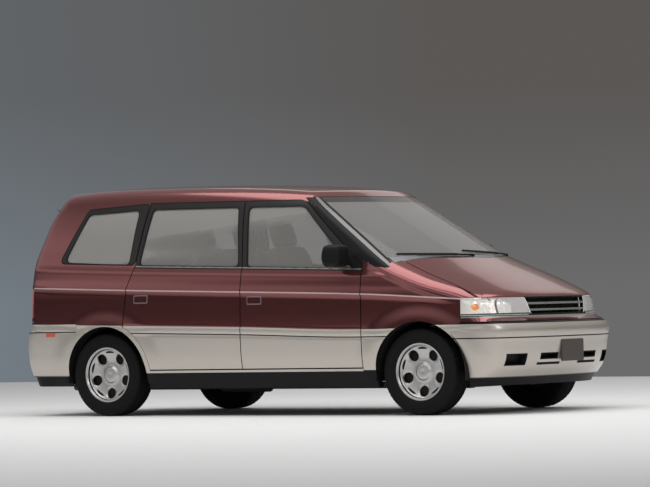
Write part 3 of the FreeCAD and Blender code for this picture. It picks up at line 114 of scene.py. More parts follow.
@dataclass(frozen=True)
class BodyForm:
    """Master surfaces of the body, in millimetres, in the row frame's left half."""

    length: float = 4465.0
    width: float = 1826.0
    height: float = 1730.0
    roof_crown: float = 30.0
    roof_drop: float = 105.0
    roof_run: float = 120.0
    hood_drop: float = 55.0
    hood_run: float = 80.0
    wind_top: Pair = (685.0, 1600.0)
    wind_lean: float = 1.74
    wind_sag: float = 0.524
    wind_power: float = 2.4
    bow_power: float = 3.0
    lamp_top: float = 828.0
    screen_foot: Pair = (1060.0, 808.0)
    screen_taper: float = 169.0 / 533.0
    front_wheel: Pair = (1470.0, 302.0)
    rear_wheel: Pair = (-1327.0, 302.0)
    arch: float = 372.0
    flare: float = 13.0
    flare_reach: float = 135.0
    arch_stretch: float = 1.12
    arch_foot: float = 60.0
    crease_lift: float = 8.0
    crease_top: float = 72.0
    crease_foot: float = 26.0
    crease_front: Pair = (2080.0, 260.0)
    crease_rear: Pair = (-2190.0, 120.0)
    ledge_lift: float = 7.0
    ledge_place: float = 52.0
    ledge_top: float = 34.0
    ledge_foot: float = 80.0
    ledge_front: Pair = (1750.0, 600.0)
    clad_lift: float = 5.0
    clad_step: float = 5.0
    groove_place: float = 52.0
    groove_half: float = 5.0
    groove_depth: float = 5.0
    relief_fade: float = 40.0
    lean_step: float = 20.0
    core_reach: Pair = (-1750.0, 1550.0)
    core_heights: Pair = (380.0, 1350.0)
    nose_core_heights: Pair = (300.0, 620.0)
    search: Pair = (0.7, 1.08)
    search_steps: int = 26
    corner: float = 22.0
    side_shares: Shares = ((0.09, 0.905), (0.16, 0.935), (0.26, 0.972), (0.38, 0.985), (0.50, 0.982),
                           (0.56, 0.972), (0.61, 0.955), (0.66, 0.935), (0.72, 0.902), (0.80, 0.858),
                           (0.88, 0.802), (0.93, 0.757), (1.0, 0.69))
    plan_shares: Shares = ((-1.05, 0.90), (-0.90, 0.962), (-0.75, 0.988), (-0.45, 1.0), (0.0, 1.006),
                           (0.40, 1.0), (0.60, 0.985), (0.70, 0.969), (0.80, 0.938), (0.90, 0.892),
                           (1.05, 0.80))
    roof_shares: Shares = ((-1.05, 0.915), (-0.958, 0.945), (-0.916, 0.966), (-0.857, 0.983), (-0.80, 0.991),
                           (-0.69, 0.998), (-0.58, 1.0), (-0.365, 0.998), (-0.154, 0.991), (0.05, 0.978),
                           (0.21, 0.960), (0.33, 0.941), (0.70, 0.86))
    hood_shares: Shares = ((0.40, 0.792), (0.5375, 0.7295), (0.646, 0.6705), (0.717, 0.630), (0.784, 0.591),
                           (0.851, 0.549), (0.896, 0.519), (0.923, 0.5006), (0.943, 0.4844), (0.963, 0.462),
                           (1.0, 0.405))
    hood_crown: Shares = ((0.40, 0.045), (0.5375, 0.060), (0.65, 0.052), (0.80, 0.018), (0.90, 0.002),
                          (1.0, 0.0))
    front_shares: Shares = ((0.08, 0.915), (0.145, 0.945), (0.19, 0.972), (0.23, 0.985), (0.30, 0.994),
                            (0.345, 1.0), (0.372, 0.992), (0.395, 0.960), (0.41, 0.951), (0.48, 0.944),
                            (0.55, 0.93))
    front_bow: Shares = ((0.08, 0.110), (0.36, 0.110), (0.41, 0.126), (0.55, 0.126))
    rear_shares: Shares = ((0.08, 0.955), (0.145, 0.976), (0.25, 0.998), (0.30, 1.0), (0.36, 0.998),
                           (0.385, 0.985), (0.41, 0.981), (0.57, 0.977), (0.66, 0.970), (0.82, 0.948),
                           (0.92, 0.908), (1.0, 0.862))
    rear_bow: Shares = ((0.08, 0.060), (0.66, 0.064), (0.82, 0.118), (0.92, 0.140), (1.0, 0.150))
    crease_line: Shares = ((-1965, 974), (-1066, 942), (-64, 912), (1005, 877), (1795, 828))
    tone_line: Shares = ((-2052, 700), (-1120, 678), (-70, 653), (982, 623), (1500, 628), (1667, 642))
    belt_line: Shares = ((-1743, 1156), (-1082, 1131), (-78, 1099), (951, 1067))

    @property
    def reach(self) -> float:
        """Half of the length."""
        return self.length / 2

    @property
    def half(self) -> float:
        """Half of the width."""
        return self.width / 2

    def crease(self, x: Array) -> Array:
        """Height of the crease along the side."""
        return monotone(self.crease_line, x)

    def tone(self, x: Array) -> Array:
        """Height of the line between the two colours."""
        return monotone(self.tone_line, x)

    def belt(self, x: Array) -> Array:
        """Height of the windows' sill line."""
        return monotone(self.belt_line, x)

    def wall(self, x: Array, z: Array) -> Array:
        """Half width of the plain side: half the width times a plan share and a side share."""
        return self.half * monotone(self.plan_shares, x / self.reach) * monotone(self.side_shares,
                                                                                 z / self.height)

    def roof(self, x: Array, y: Array) -> Array:
        """Height of the roof: a lengthwise share of the height less a crown that grows with y squared."""
        crown = (y / (self.half * self.side_shares[-1][1])) ** 2
        return self.height * monotone(self.roof_shares, x / self.reach) - self.roof_crown * crown

    def hood(self, x: Array, y: Array) -> Array:
        """Height of the bonnet: lengthwise shares read further ahead towards the sides, less a crown."""
        bow = self.reach * monotone(self.front_bow, np.array(self.lamp_top / self.height))
        ahead = x + bow * (np.abs(y) / self.half) ** self.bow_power
        fall = monotone(self.hood_crown, x / self.reach) * (y / self.half) ** 2
        return self.height * (monotone(self.hood_shares, ahead / self.reach) - fall)

    def front(self, y: Array, z: Array) -> Array:
        """Place of the nose: a share of the half length by height, less a bow with y cubed."""
        bow = monotone(self.front_bow, z / self.height) * (np.abs(y) / self.half) ** self.bow_power
        return self.reach * (monotone(self.front_shares, z / self.height) - bow)

    def rear(self, y: Array, z: Array) -> Array:
        """Place of the tail, shaped as the nose is."""
        bow = monotone(self.rear_bow, z / self.height) * (np.abs(y) / self.half) ** self.bow_power
        return self.reach * (bow - monotone(self.rear_shares, z / self.height))

    def wind(self, y: Array, z: Array) -> Array:
        """Place of the windscreen: a leaning line less a sag that grows with y to a power."""
        sag = self.wind_sag * self.half * (np.abs(y) / self.half) ** self.wind_power
        return self.wind_top[0] + self.wind_lean * (self.wind_top[1] - z) - sag

    def screen_half(self, z: Array) -> Array:
        """Half width of the windscreen at each height."""
        return self.screen_foot[1] - (z - self.screen_foot[0]) * self.screen_taper

    def relief(self, x: Array, z: Array) -> Array:
        """Raised form of the side: crease, sill ledge, cladding step, groove and the two arch flares."""
        belt, crease, tone = self.belt(x), self.crease(x), self.tone(x)
        front, rear = self.crease_front, self.crease_rear
        fade = ease((front[0] - x) / front[1]) * ease((x - rear[0]) / rear[1])
        lift = self.crease_lift * tent(z - crease, belt - crease - self.crease_top, self.crease_foot) * fade
        ledge = tent(z - belt + self.ledge_place, self.ledge_top, self.ledge_foot)
        lift = lift + self.ledge_lift * ledge * ease((self.ledge_front[0] - x) / self.ledge_front[1])
        lift = lift + self.clad_lift * ease((tone - z) / self.clad_step)
        lift = lift - self.groove_depth * tent(z - tone + self.groove_place, self.groove_half,
                                               self.groove_half)
        for centre in (self.front_wheel, self.rear_wheel):
            far = np.hypot((x - centre[0]) / self.arch_stretch, z - centre[1]) - self.arch
            lift = lift + self.flare * ease(1 - far / self.flare_reach) * (z > centre[1] - self.arch_foot)
        return lift

    def shoulder(self, x: Array, nose: bool) -> tuple[Array, ...]:
        """Control points of the rounded edge between the side and the lid, at each x."""
        lid = self.hood if nose else self.roof
        drop, run = (self.hood_drop, self.hood_run) if nose else (self.roof_drop, self.roof_run)
        step = self.lean_step
        top = lid(x, np.full_like(x, self.half * self.side_shares[-1][1]))
        z0 = lid(x, self.wall(x, top - drop)) - drop
        y0 = self.wall(x, z0)
        lean = (y0 - self.wall(x, z0 - step)) / step
        y2 = y0 - run
        z2 = lid(x, y2)
        slope = (z2 - lid(x, y2 - step)) / step
        z1 = (z2 + slope * (y0 - lean * z0 - y2)) / (1 - slope * lean)
        return y0, z0, y0 + lean * (z1 - z0), z1, y2, z2

    @staticmethod
    def share_at(z: Array, z0: Array, z1: Array, z2: Array) -> Array:
        """Share of the way along the shoulder's curve at which it has the height z: a quadratic's root."""
        a, b = z0 - 2 * z1 + z2, 2 * (z1 - z0)
        c = z0 - np.clip(z, z0, z2)
        return np.clip(2 * c / (-b - np.sqrt(np.maximum(b * b - 4 * a * c, 0))), 0, 1)

    def side(self, x: Array, z: Array, nose: bool) -> Array:
        """Half width of the dressed side, over the shoulder's curve up to the lid."""
        y0, z0, y1, z1, y2, z2 = self.shoulder(x, nose)
        t = self.share_at(z, z0, z1, z2)
        curve = y0 * (1 - t) ** 2 + 2 * y1 * t * (1 - t) + y2 * t * t
        flat = self.wall(x, z) + self.relief(x, z) * ease((z0 - z) / self.relief_fade)
        return np.where(z < z0, flat, curve)

    def skin(self, x: Array, run: Array, nose: bool) -> Array:
        """Point at x, a distance `run` up the section: up the wall, then on over the shoulder."""
        y0, z0, y1, z1, y2, z2 = self.shoulder(x, nose)
        turn = self.turn(nose)
        t = np.clip((run - z0) / turn, 0, 1)
        curve_y = y0 * (1 - t) ** 2 + 2 * y1 * t * (1 - t) + y2 * t * t
        curve_z = z0 * (1 - t) ** 2 + 2 * z1 * t * (1 - t) + z2 * t * t
        inner = np.clip(y2 - (run - z0 - turn), 0, None)
        lid = (self.hood if nose else self.roof)(x, inner)
        y = np.where(run < z0, self.side(x, run, nose), np.where(run < z0 + turn, curve_y, inner))
        z = np.where(run < z0, run, np.where(run < z0 + turn, curve_z, lid))
        return np.stack([x, y, z], -1)

    def turn(self, nose: bool) -> float:
        """Rough length of the shoulder's curve."""
        drop, run = (self.hood_drop, self.hood_run) if nose else (self.roof_drop, self.roof_run)
        return math.hypot(drop, run)

    def run_at_height(self, x: Array, z: Array, nose: bool) -> Array:
        """Distance up the section at which it has the height z, below the lid."""
        _, z0, _, z1, _, z2 = self.shoulder(x, nose)
        return np.where(z < z0, z, z0 + self.turn(nose) * self.share_at(z, z0, z1, z2))

    def run_at_half(self, x: Array, y: Array, nose: bool) -> Array:
        """Distance up the section at which the lid is y from the middle."""
        _, z0, _, _, y2, _ = self.shoulder(x, nose)
        return z0 + self.turn(nose) + y2 - y

    def field(self, p: Array, nose: bool) -> Array:
        """Signed field of the rounded body: above 0 outside, 0 on its surface."""
        x, y, z = p[..., 0], np.abs(p[..., 1]), p[..., 2]
        *_, y2, z2 = self.shoulder(x, nose)
        lid = self.hood if nose else self.roof
        hoop = np.maximum(y - self.side(x, np.minimum(z, z2), nose), z - lid(x, np.minimum(y, y2)))
        if nose:
            return smooth_max(hoop, x - self.front(y, z), self.corner)
        return smooth_max(smooth_max(hoop, self.rear(y, z) - x, self.corner), x - self.wind(y, z),
                          self.corner / 4)

    def core(self, p: Array, nose: bool) -> Array:
        """Nearest points of the body's core, a plate in its middle plane."""
        heights = self.nose_core_heights if nose else self.core_heights
        return stacked(np.clip(p[..., 0], *self.core_reach), 0.0, np.clip(p[..., 2], *heights))

    def settle(self, p: Array, nose: bool) -> Array:
        """Points moved along rays from the body's core onto the rounded surface, by halving."""
        core = self.core(p, nose)
        low, high = (np.full(p.shape[:-1], end) for end in self.search)
        for _ in range(self.search_steps):
            middle = (low + high) / 2
            outside = self.field(core + (p - core) * middle[..., None], nose) > 0
            high = np.where(outside, middle, high)
            low = np.where(outside, low, middle)
        return core + (p - core) * low[..., None]


FORM = BodyForm()


def stretch(low: Array, high: Array, count: int) -> Array:
    """Rows blended evenly from `low` to `high` along a new first axis."""
    t = np.linspace(0.0, 1.0, count)
    t = t.reshape((-1,) + (1,) * np.ndim(low))
    return low * (1 - t) + high * t


def both_halves(points: Array, nose: bool) -> Array:
    """Points of both halves settled on the rounded body, which is drawn on the left."""
    flip = stacked(1.0, np.where(points[..., 1] < 0, -1.0, 1.0), 1.0)
    return FORM.settle(points * flip, nose) * flip


def plot(left: Line, right: Line, low: Line, high: Line, across: Array, up: Array) -> tuple[Array, Array]:
    """Grid between four curves: sides are read by height, foot and top by place, until both agree.

    Args:
        left, right: place of the two ends as functions of height.
        low, high: height of foot and top as functions of place.
        across, up: shares of the way, from 0 to 1, along each direction.

    Returns:
        Places and heights, each with one row per share of `up`.
    """
    s, t = np.meshgrid(across, up)
    z = np.full_like(s, PLOT_START)
    x = (1 - s) * left(z) + s * right(z)
    for _ in range(PLOT_STEPS):
        z = (1 - t) * low(x) + t * high(x)
        x = (1 - s) * left(z) + s * right(z)
    return x, z


def even(count: int) -> Array:
    """Even shares from 0 to 1."""
    return np.linspace(0.0, 1.0, count)


def level(value: float) -> Line:
    """A curve that has one value everywhere."""
    return lambda at: np.full_like(np.asarray(at, float), value)


def through(*pairs: tuple[float, float]) -> Line:
    """A straight-sided line through the pairs of place and value, level beyond its ends."""
    places, values = np.array(sorted(pairs), float).T
    return lambda at: np.interp(at, places, values)


def line_between(first: Pair, last: Pair) -> Line:
    """Straight line through two pairs of place and value, carried on beyond both."""
    slope = (last[1] - first[1]) / (last[0] - first[0])
    return lambda at: first[1] + (at - first[0]) * slope


def bowed(middle: float, drop: float, power: float) -> Line:
    """Curve that falls by `drop` from the middle to the body's half width, with y to a power."""
    return lambda y: middle - drop * (np.abs(y) / FORM.half) ** power


def rectangle(sides: Pair, heights: Pair) -> list[Pair]:
    """Corners of an upright rectangle."""
    return [(sides[0], heights[0]), (sides[1], heights[0]), (sides[1], heights[1]), (sides[0], heights[1])]


def outline(corners: Corners, radius: float, straight: int = 8, bend: int = 5) -> Array:
    """Closed outline with rounded corners: arcs at the corners, even points on the straights.

    Args:
        corners: the outline's corners in order.
        radius: corner radius.
        straight, bend: points on each straight and in each arc.

    Returns:
        Points, one row each.
    """
    spots = np.array(corners, float)
    before, after = np.roll(spots, 1, 0) - spots, np.roll(spots, -1, 0) - spots
    la, lb = np.linalg.norm(before, axis=1), np.linalg.norm(after, axis=1)
    a, b = before / la[:, None], after / lb[:, None]
    turn = np.arccos(np.clip((a * b).sum(1), -1, 1))
    reach = np.minimum(radius / np.tan(turn / 2), 0.45 * np.minimum(la, lb))
    start, end = spots + a * reach[:, None], spots + b * reach[:, None]
    t = even(bend)[:, None, None]
    arcs = start * (1 - t) ** 2 + 2 * spots * t * (1 - t) + end * t * t
    u = np.linspace(0, 1, straight + 2)[1:-1][:, None, None]
    lines = end * (1 - u) + np.roll(start, -1, 0) * u
    return np.concatenate([arcs, lines]).transpose(1, 0, 2).reshape(-1, 2)


def grown(corners: Corners, offset: float) -> list[Pair]:
    """The outline's corners moved outwards by `offset`."""
    spots = np.array(corners, float)
    following = np.roll(spots, -1, 0)
    area = (spots[:, 0] * following[:, 1] - following[:, 0] * spots[:, 1]).sum()
    way = following - spots
    way = way / np.linalg.norm(way, axis=1)[:, None]
    out = np.stack([way[:, 1], -way[:, 0]], 1) * np.sign(area)
    back = np.roll(out, 1, 0)
    moved = spots + (out + back) * (offset / (1 + (out * back).sum(1)))[:, None]
    return [tuple(p) for p in moved]


def closed(rows: Array) -> Array:
    """Rows with their first column repeated as the last."""
    return np.concatenate([rows, rows[:, :1]], 1)


def loop_grid(inner: Array, outer: Array, count: int) -> Array:
    """Closed ring of rows from the inner outline to the outer one."""
    return closed(stretch(inner, outer, count))


def filled(edge: Array, count: int) -> Array:
    """Closed rows from the middle of an outline to its edge."""
    return loop_grid(np.broadcast_to(edge.mean(0), edge.shape), edge, count)


class Way(Enum):
    """Rough outward directions of surfaces."""

    SIDE = (0.0, 1.0, 0.0)
    INNER = (0.0, -1.0, 0.0)
    TOP = (0.0, 0.0, 1.0)
    UNDER = (0.0, 0.0, -1.0)
    FRONT = (1.0, 0.0, 0.0)
    REAR = (-1.0, 0.0, 0.0)
    FRONT_CORNER = (1.0, 1.0, 0.0)
    REAR_CORNER = (-1.0, 1.0, 0.0)
    SCREEN = (1.0, 0.0, 0.5)
    SHOULDER = (0.0, 1.0, 0.5)


@dataclass
class Shell:
    """A mesh under construction: welded grids of points with a finish for each."""

    points: list[Array] = field(default_factory=list)
    faces: list[Array] = field(default_factory=list)
    tones: list[Array] = field(default_factory=list)
    count: int = 0

    def grid(self, p: Array, tone: int = 0, out: Optional[Way] = None) -> "Shell":
        """Adds a grid of points (rows, columns, 3) as quads.

        Args:
            p: the points, in millimetres.
            tone: index of the finish.
            out: rough outward direction, or None if the grid already faces outwards.

        Returns:
            The shell itself.
        """
        rows, columns = p.shape[:2]
        i = np.arange(rows * columns).reshape(rows, columns)
        quads = np.stack([i[:-1, :-1], i[:-1, 1:], i[1:, 1:], i[1:, :-1]], -1).reshape(-1, 4)
        flat = p.reshape(-1, 3)
        if out is not None:
            a, b = flat[quads[:, 2]] - flat[quads[:, 0]], flat[quads[:, 3]] - flat[quads[:, 1]]
            if (np.cross(a, b).sum(0) * np.array(out.value)).sum() < 0:
                quads = quads[:, ::-1]
        self.points.append(flat)
        self.faces.append(quads + self.count)
        self.tones.append(np.full(len(quads), tone))
        self.count += len(flat)
        return self

    def arrays(self, weld: float = 0.04) -> tuple[Array, Array, Array]:
        """Points, quads and finishes with doubles merged and empty faces left out."""
        points, faces = np.concatenate(self.points), np.concatenate(self.faces)
        tones = np.concatenate(self.tones)
        keys = np.round(points / weld).astype(np.int64)
        _, first, inverse = np.unique(keys, axis=0, return_index=True, return_inverse=True)
        faces = inverse.reshape(-1)[faces]
        span = np.linalg.norm(points[first][faces[:, 2]] - points[first][faces[:, 0]], axis=1)
        other = np.linalg.norm(points[first][faces[:, 3]] - points[first][faces[:, 1]], axis=1)
        ordered = np.sort(faces, 1)
        corners = 1 + (np.diff(ordered, axis=1) != 0).sum(1)
        keep = (span > weld) & (other > weld) & (corners > 2)
        return points[first], faces[keep], tones[keep]


def normals_of(points: Array, faces: Array) -> Array:
    """Point normals: the sum of the crossed diagonals of the faces around each."""
    cross = np.cross(points[faces[:, 2]] - points[faces[:, 0]], points[faces[:, 3]] - points[faces[:, 1]])
    total = np.zeros_like(points)
    for k in range(4):
        np.add.at(total, faces[:, k], cross)
    return total / np.maximum(np.linalg.norm(total, axis=1), 1e-9)[:, None]


def thickened(points: Array, faces: Array, tones: Array, depth: float | Callable[[Array], Array],
              inner_tone: int, rim_tone: int, way: Optional[Way] = None) -> tuple[Array, Array, Array]:
    """A closed wall: the skin, a copy moved inwards by `depth`, and a strip round every open edge.

    Args:
        points, faces, tones: the skin.
        depth: thickness, or a function that gives it for each point.
        inner_tone, rim_tone: finishes of the inner face and of the edges.
        way: direction of the thickness, or None for against the normals.

    Returns:
        Points, faces and finishes of the wall.
    """
    inwards = -normals_of(points, faces) if way is None else np.broadcast_to(way.value, points.shape)
    deep = depth(points) if callable(depth) else np.full(len(points), depth)
    inner = points + inwards * deep[:, None]
    count = len(points)
    sides = np.concatenate([faces[:, [k, (k + 1) % 4]] for k in range(4)])
    sides = sides[sides[:, 0] != sides[:, 1]]
    ordered = np.sort(sides, 1)
    _, index, number = np.unique(ordered, axis=0, return_index=True, return_counts=True)
    edge = sides[index[number == 1]]
    rim = np.stack([edge[:, 1], edge[:, 0], edge[:, 0] + count, edge[:, 1] + count], 1)
    all_faces = np.concatenate([faces, faces[:, ::-1] + count, rim])
    all_tones = np.concatenate([tones, np.full(len(faces), inner_tone), np.full(len(rim), rim_tone)])
    return np.concatenate([points, inner]), all_faces, all_tones


def mesh_object(name: str, points: Array, faces: Array, tones: Array, finishes: Sequence[bpy.types.Material],
                sharp: float = 32.0) -> bpy.types.Object:
    """Blender object from arrays in millimetres, smooth except at edges sharper than `sharp` degrees."""
    mesh = bpy.data.meshes.new(name)
    triangles = (faces == np.roll(faces, -1, 1)).any(1)
    lists = faces[~triangles].tolist()
    kept = [tones[~triangles]]
    if triangles.any():
        lists += [list(dict.fromkeys(f)) for f in faces[triangles].tolist()]
        kept.append(tones[triangles])
    mesh.from_pydata((points * MILLI).tolist(), [], lists)
    for finish in finishes:
        mesh.materials.append(finish)
    mesh.polygons.foreach_set("material_index", np.concatenate(kept).astype(np.int32))
    mesh.polygons.foreach_set("use_smooth", np.ones(len(mesh.polygons), bool))
    mesh.set_sharp_from_angle(angle=math.radians(sharp))
    mesh.validate()
    mesh.update()
    thing = bpy.data.objects.new(name, mesh)
    bpy.context.scene.collection.objects.link(thing)
    return thing


class Side(Enum):
    """The vehicle's two sides."""

    LEFT = 1
    RIGHT = -1

    @property
    def word(self) -> str:
        """The side's word in node and piece names."""
        return "left" if self is Side.LEFT else "right"

    def place(self, points: Array, faces: Array) -> tuple[Array, Array]:
        """Left-hand points and faces moved to this side, with the faces turned where mirrored."""
        if self is Side.LEFT:
            return points, faces
        return points * np.array([1.0, -1.0, 1.0]), faces[:, ::-1]


def piece(name: str, shell: Shell, finishes: Sequence[bpy.types.Material], body: str,
          nodes: Sequence[str] = (), sides: Sequence[Side] = (Side.LEFT,),
          depth: float | Callable[[Array], Array] = 0.0, inner: int = 0, rim: int = 0,
          way: Optional[Way] = None, sharp: float = 32.0) -> bpy.types.Object:
    """Finishes a shell as one riding piece.

    Args:
        name: the piece's name.
        shell: its grids, drawn on the left side.
        finishes: its materials.
        body: the CAD body it rides on.
        nodes: CAD nodes it stands for.
        sides: the side or sides on which it stands.
        depth: wall thickness, or 0 for a single skin.
        inner, rim: finishes of the inner face and of the edges.
        way: direction of the thickness, or None for along the normals.
        sharp: angle above which an edge stays sharp.

    Returns:
        The object.
    """
    points, faces, tones = shell.arrays()
    if callable(depth) or depth:
        points, faces, tones = thickened(points, faces, tones, depth, inner, rim, way)
    parts = [side.place(points, faces) for side in sides]
    all_points = np.concatenate([p for p, _ in parts])
    all_faces = np.concatenate([f + k * len(points) for k, (_, f) in enumerate(parts)])
    thing = mesh_object(name, all_points, all_faces, np.tile(tones, len(parts)), finishes, sharp)
    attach(thing, body)
    if nodes:
        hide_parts(*nodes)
    LOG.info("%s: %d faces on %s", name, len(all_faces), body)
    return thing


def tube(path: Array, radius: Array | float, around: int = 12, closed: bool = False) -> Array:
    """Round tube along a path: circles in the plane square to the path at each point.

    Args:
        path: points along the middle line.
        radius: one radius, or one for each point.
        around: points in each circle.
        closed: whether the path's end meets its start.

    Returns:
        Grid with one row for each point of the path, closed round each circle.
    """
    along = np.roll(path, -1, 0) - np.roll(path, 1, 0)
    if not closed:
        along[0], along[-1] = path[1] - path[0], path[-1] - path[-2]
    along = along / np.linalg.norm(along, axis=1)[:, None]
    guide = np.array([0.0, 0.0, 1.0]) if abs(along[:, 2]).mean() < 0.8 else np.array([1.0, 0.0, 0.0])
    side = np.cross(along, guide)
    side = side / np.linalg.norm(side, axis=1)[:, None]
    up = np.cross(side, along)
    turn = np.linspace(0, 2 * math.pi, around + 1)[None, :, None]
    r = np.broadcast_to(np.asarray(radius, float), (len(path),))[:, None, None]
    rows = path[:, None] + r * (np.cos(turn) * side[:, None] + np.sin(turn) * up[:, None])
    return np.concatenate([rows, rows[:1]]) if closed else rows


def capped(rows: Array) -> Array:
    """A tube's rows with both ends drawn together to a point."""
    first, last = rows[0, :-1].mean(0), rows[-1, :-1].mean(0)
    return np.concatenate([np.broadcast_to(first, rows[:1].shape), rows,
                           np.broadcast_to(last, rows[:1].shape)])


def turned(profile: Array, count: int) -> Array:
    """Surface of revolution about the Y axis, from (radius, y) rows."""
    angle = np.linspace(0, 2 * math.pi, count + 1)
    r, y = profile[:, :1], profile[:, 1:]
    return stacked(r * np.cos(angle), y, r * np.sin(angle))


def shader_group(name: str, inputs: dict[str, float], outputs: dict[str, str]) -> bpy.types.NodeTree:
    """Empty shader group with float inputs and the named outputs."""
    group = bpy.data.node_groups.new(name, "ShaderNodeTree")
    for label, value in inputs.items():
        socket = group.interface.new_socket(label, in_out="INPUT", socket_type="NodeSocketFloat")
        socket.default_value = value
    for label, kind in outputs.items():
        group.interface.new_socket(label, in_out="OUTPUT", socket_type=kind)
    group.nodes.new("NodeGroupInput")
    group.nodes.new("NodeGroupOutput")
    return group


def ends_of(group: bpy.types.NodeTree) -> tuple[bpy.types.Node, bpy.types.Node]:
    """The group's input and output nodes."""
    found = {n.bl_idname: n for n in group.nodes}
    return found["NodeGroupInput"], found["NodeGroupOutput"]


def grain_group() -> bpy.types.NodeTree:
    """Fine grain on object coordinates: a mask from 0 to 1 and a bumped normal."""
    group = shader_group("fine_grain", {"Scale": 400.0, "Depth": 0.1, "Detail": 3.0},
                         {"Mask": "NodeSocketFloat", "Normal": "NodeSocketVector"})
    enter, leave = ends_of(group)
    place = group.nodes.new("ShaderNodeTexCoord")
    noise = group.nodes.new("ShaderNodeTexNoise")
    bump = group.nodes.new("ShaderNodeBump")
    bump.inputs["Distance"].default_value = 0.001
    link = group.links.new
    link(place.outputs["Object"], noise.inputs["Vector"])
    link(enter.outputs["Scale"], noise.inputs["Scale"])
    link(enter.outputs["Detail"], noise.inputs["Detail"])
    link(noise.outputs["Fac"], bump.inputs["Height"])
    link(enter.outputs["Depth"], bump.inputs["Strength"])
    link(noise.outputs["Fac"], leave.inputs["Mask"])
    link(bump.outputs["Normal"], leave.inputs["Normal"])
    return group


def dust_group() -> bpy.types.NodeTree:
    """Road dust: strongest low down, broken up by soft noise, from 0 to 1."""
    group = shader_group("road_dust", {"Top": 0.5, "Scale": 3.0}, {"Mask": "NodeSocketFloat"})
    enter, leave = ends_of(group)
    place = group.nodes.new("ShaderNodeTexCoord")
    split = group.nodes.new("ShaderNodeSeparateXYZ")
    noise = group.nodes.new("ShaderNodeTexNoise")
    height = group.nodes.new("ShaderNodeMapRange")
    both = group.nodes.new("ShaderNodeMath")
    both.operation = "MULTIPLY"
    both.use_clamp = True
    height.inputs["To Min"].default_value = 1.0
    height.inputs["To Max"].default_value = 0.0
    link = group.links.new
    link(place.outputs["Object"], split.inputs["Vector"])
    link(place.outputs["Object"], noise.inputs["Vector"])
    link(enter.outputs["Scale"], noise.inputs["Scale"])
    link(split.outputs["Z"], height.inputs["Value"])
    link(enter.outputs["Top"], height.inputs["From Max"])
    link(height.outputs["Result"], both.inputs[0])
    link(noise.outputs["Fac"], both.inputs[1])
    link(both.outputs[0], leave.inputs["Mask"])
    return group


def weave_group() -> bpy.types.NodeTree:
    """Cloth weave: two crossed bands on object coordinates as a mask and a bumped normal."""
    group = shader_group("cloth_weave", {"Scale": 300.0, "Depth": 0.4},
                         {"Mask": "NodeSocketFloat", "Normal": "NodeSocketVector"})
    enter, leave = ends_of(group)
    place = group.nodes.new("ShaderNodeTexCoord")
    link = group.links.new
    total = group.nodes.new("ShaderNodeMath")
    total.operation = "MULTIPLY"
    for k, axis in enumerate(("Y", "Z")):
        wave = group.nodes.new("ShaderNodeTexWave")
        wave.bands_direction = axis
        wave.inputs["Distortion"].default_value = 0.6
        link(place.outputs["Object"], wave.inputs["Vector"])
        link(enter.outputs["Scale"], wave.inputs["Scale"])
        link(wave.outputs["Fac"], total.inputs[k])
    bump = group.nodes.new("ShaderNodeBump")
    bump.inputs["Distance"].default_value = 0.002
    link(total.outputs[0], bump.inputs["Height"])
    link(enter.outputs["Depth"], bump.inputs["Strength"])
    link(total.outputs[0], leave.inputs["Mask"])
    link(bump.outputs["Normal"], leave.inputs["Normal"])
    return group


def blend(tree: bpy.types.NodeTree, share: bpy.types.NodeSocket | float,
          first: bpy.types.NodeSocket | Sequence[float], second: bpy.types.NodeSocket | Sequence[float],
          kind: str = "MIX") -> bpy.types.NodeSocket:
    """Mix of two colours.

    Args:
        tree: node tree of a material or the world.
        share: share of the second colour.
        first, second: the colours, each a socket that is linked or a value that is set.
        kind: how they are mixed.

    Returns:
        The mixed colour's socket.
    """
    mix = tree.nodes.new("ShaderNodeMix")
    mix.data_type = "RGBA"
    mix.blend_type = kind
    for label, value in (("Factor", share), ("A", first), ("B", second)):
        if isinstance(value, bpy.types.NodeSocket):
            tree.links.new(value, mix.inputs[label])
        else:
            mix.inputs[label].default_value = value
    return mix.outputs["Result"]


GRAIN = grain_group()
DUST = dust_group()
WEAVE = weave_group()


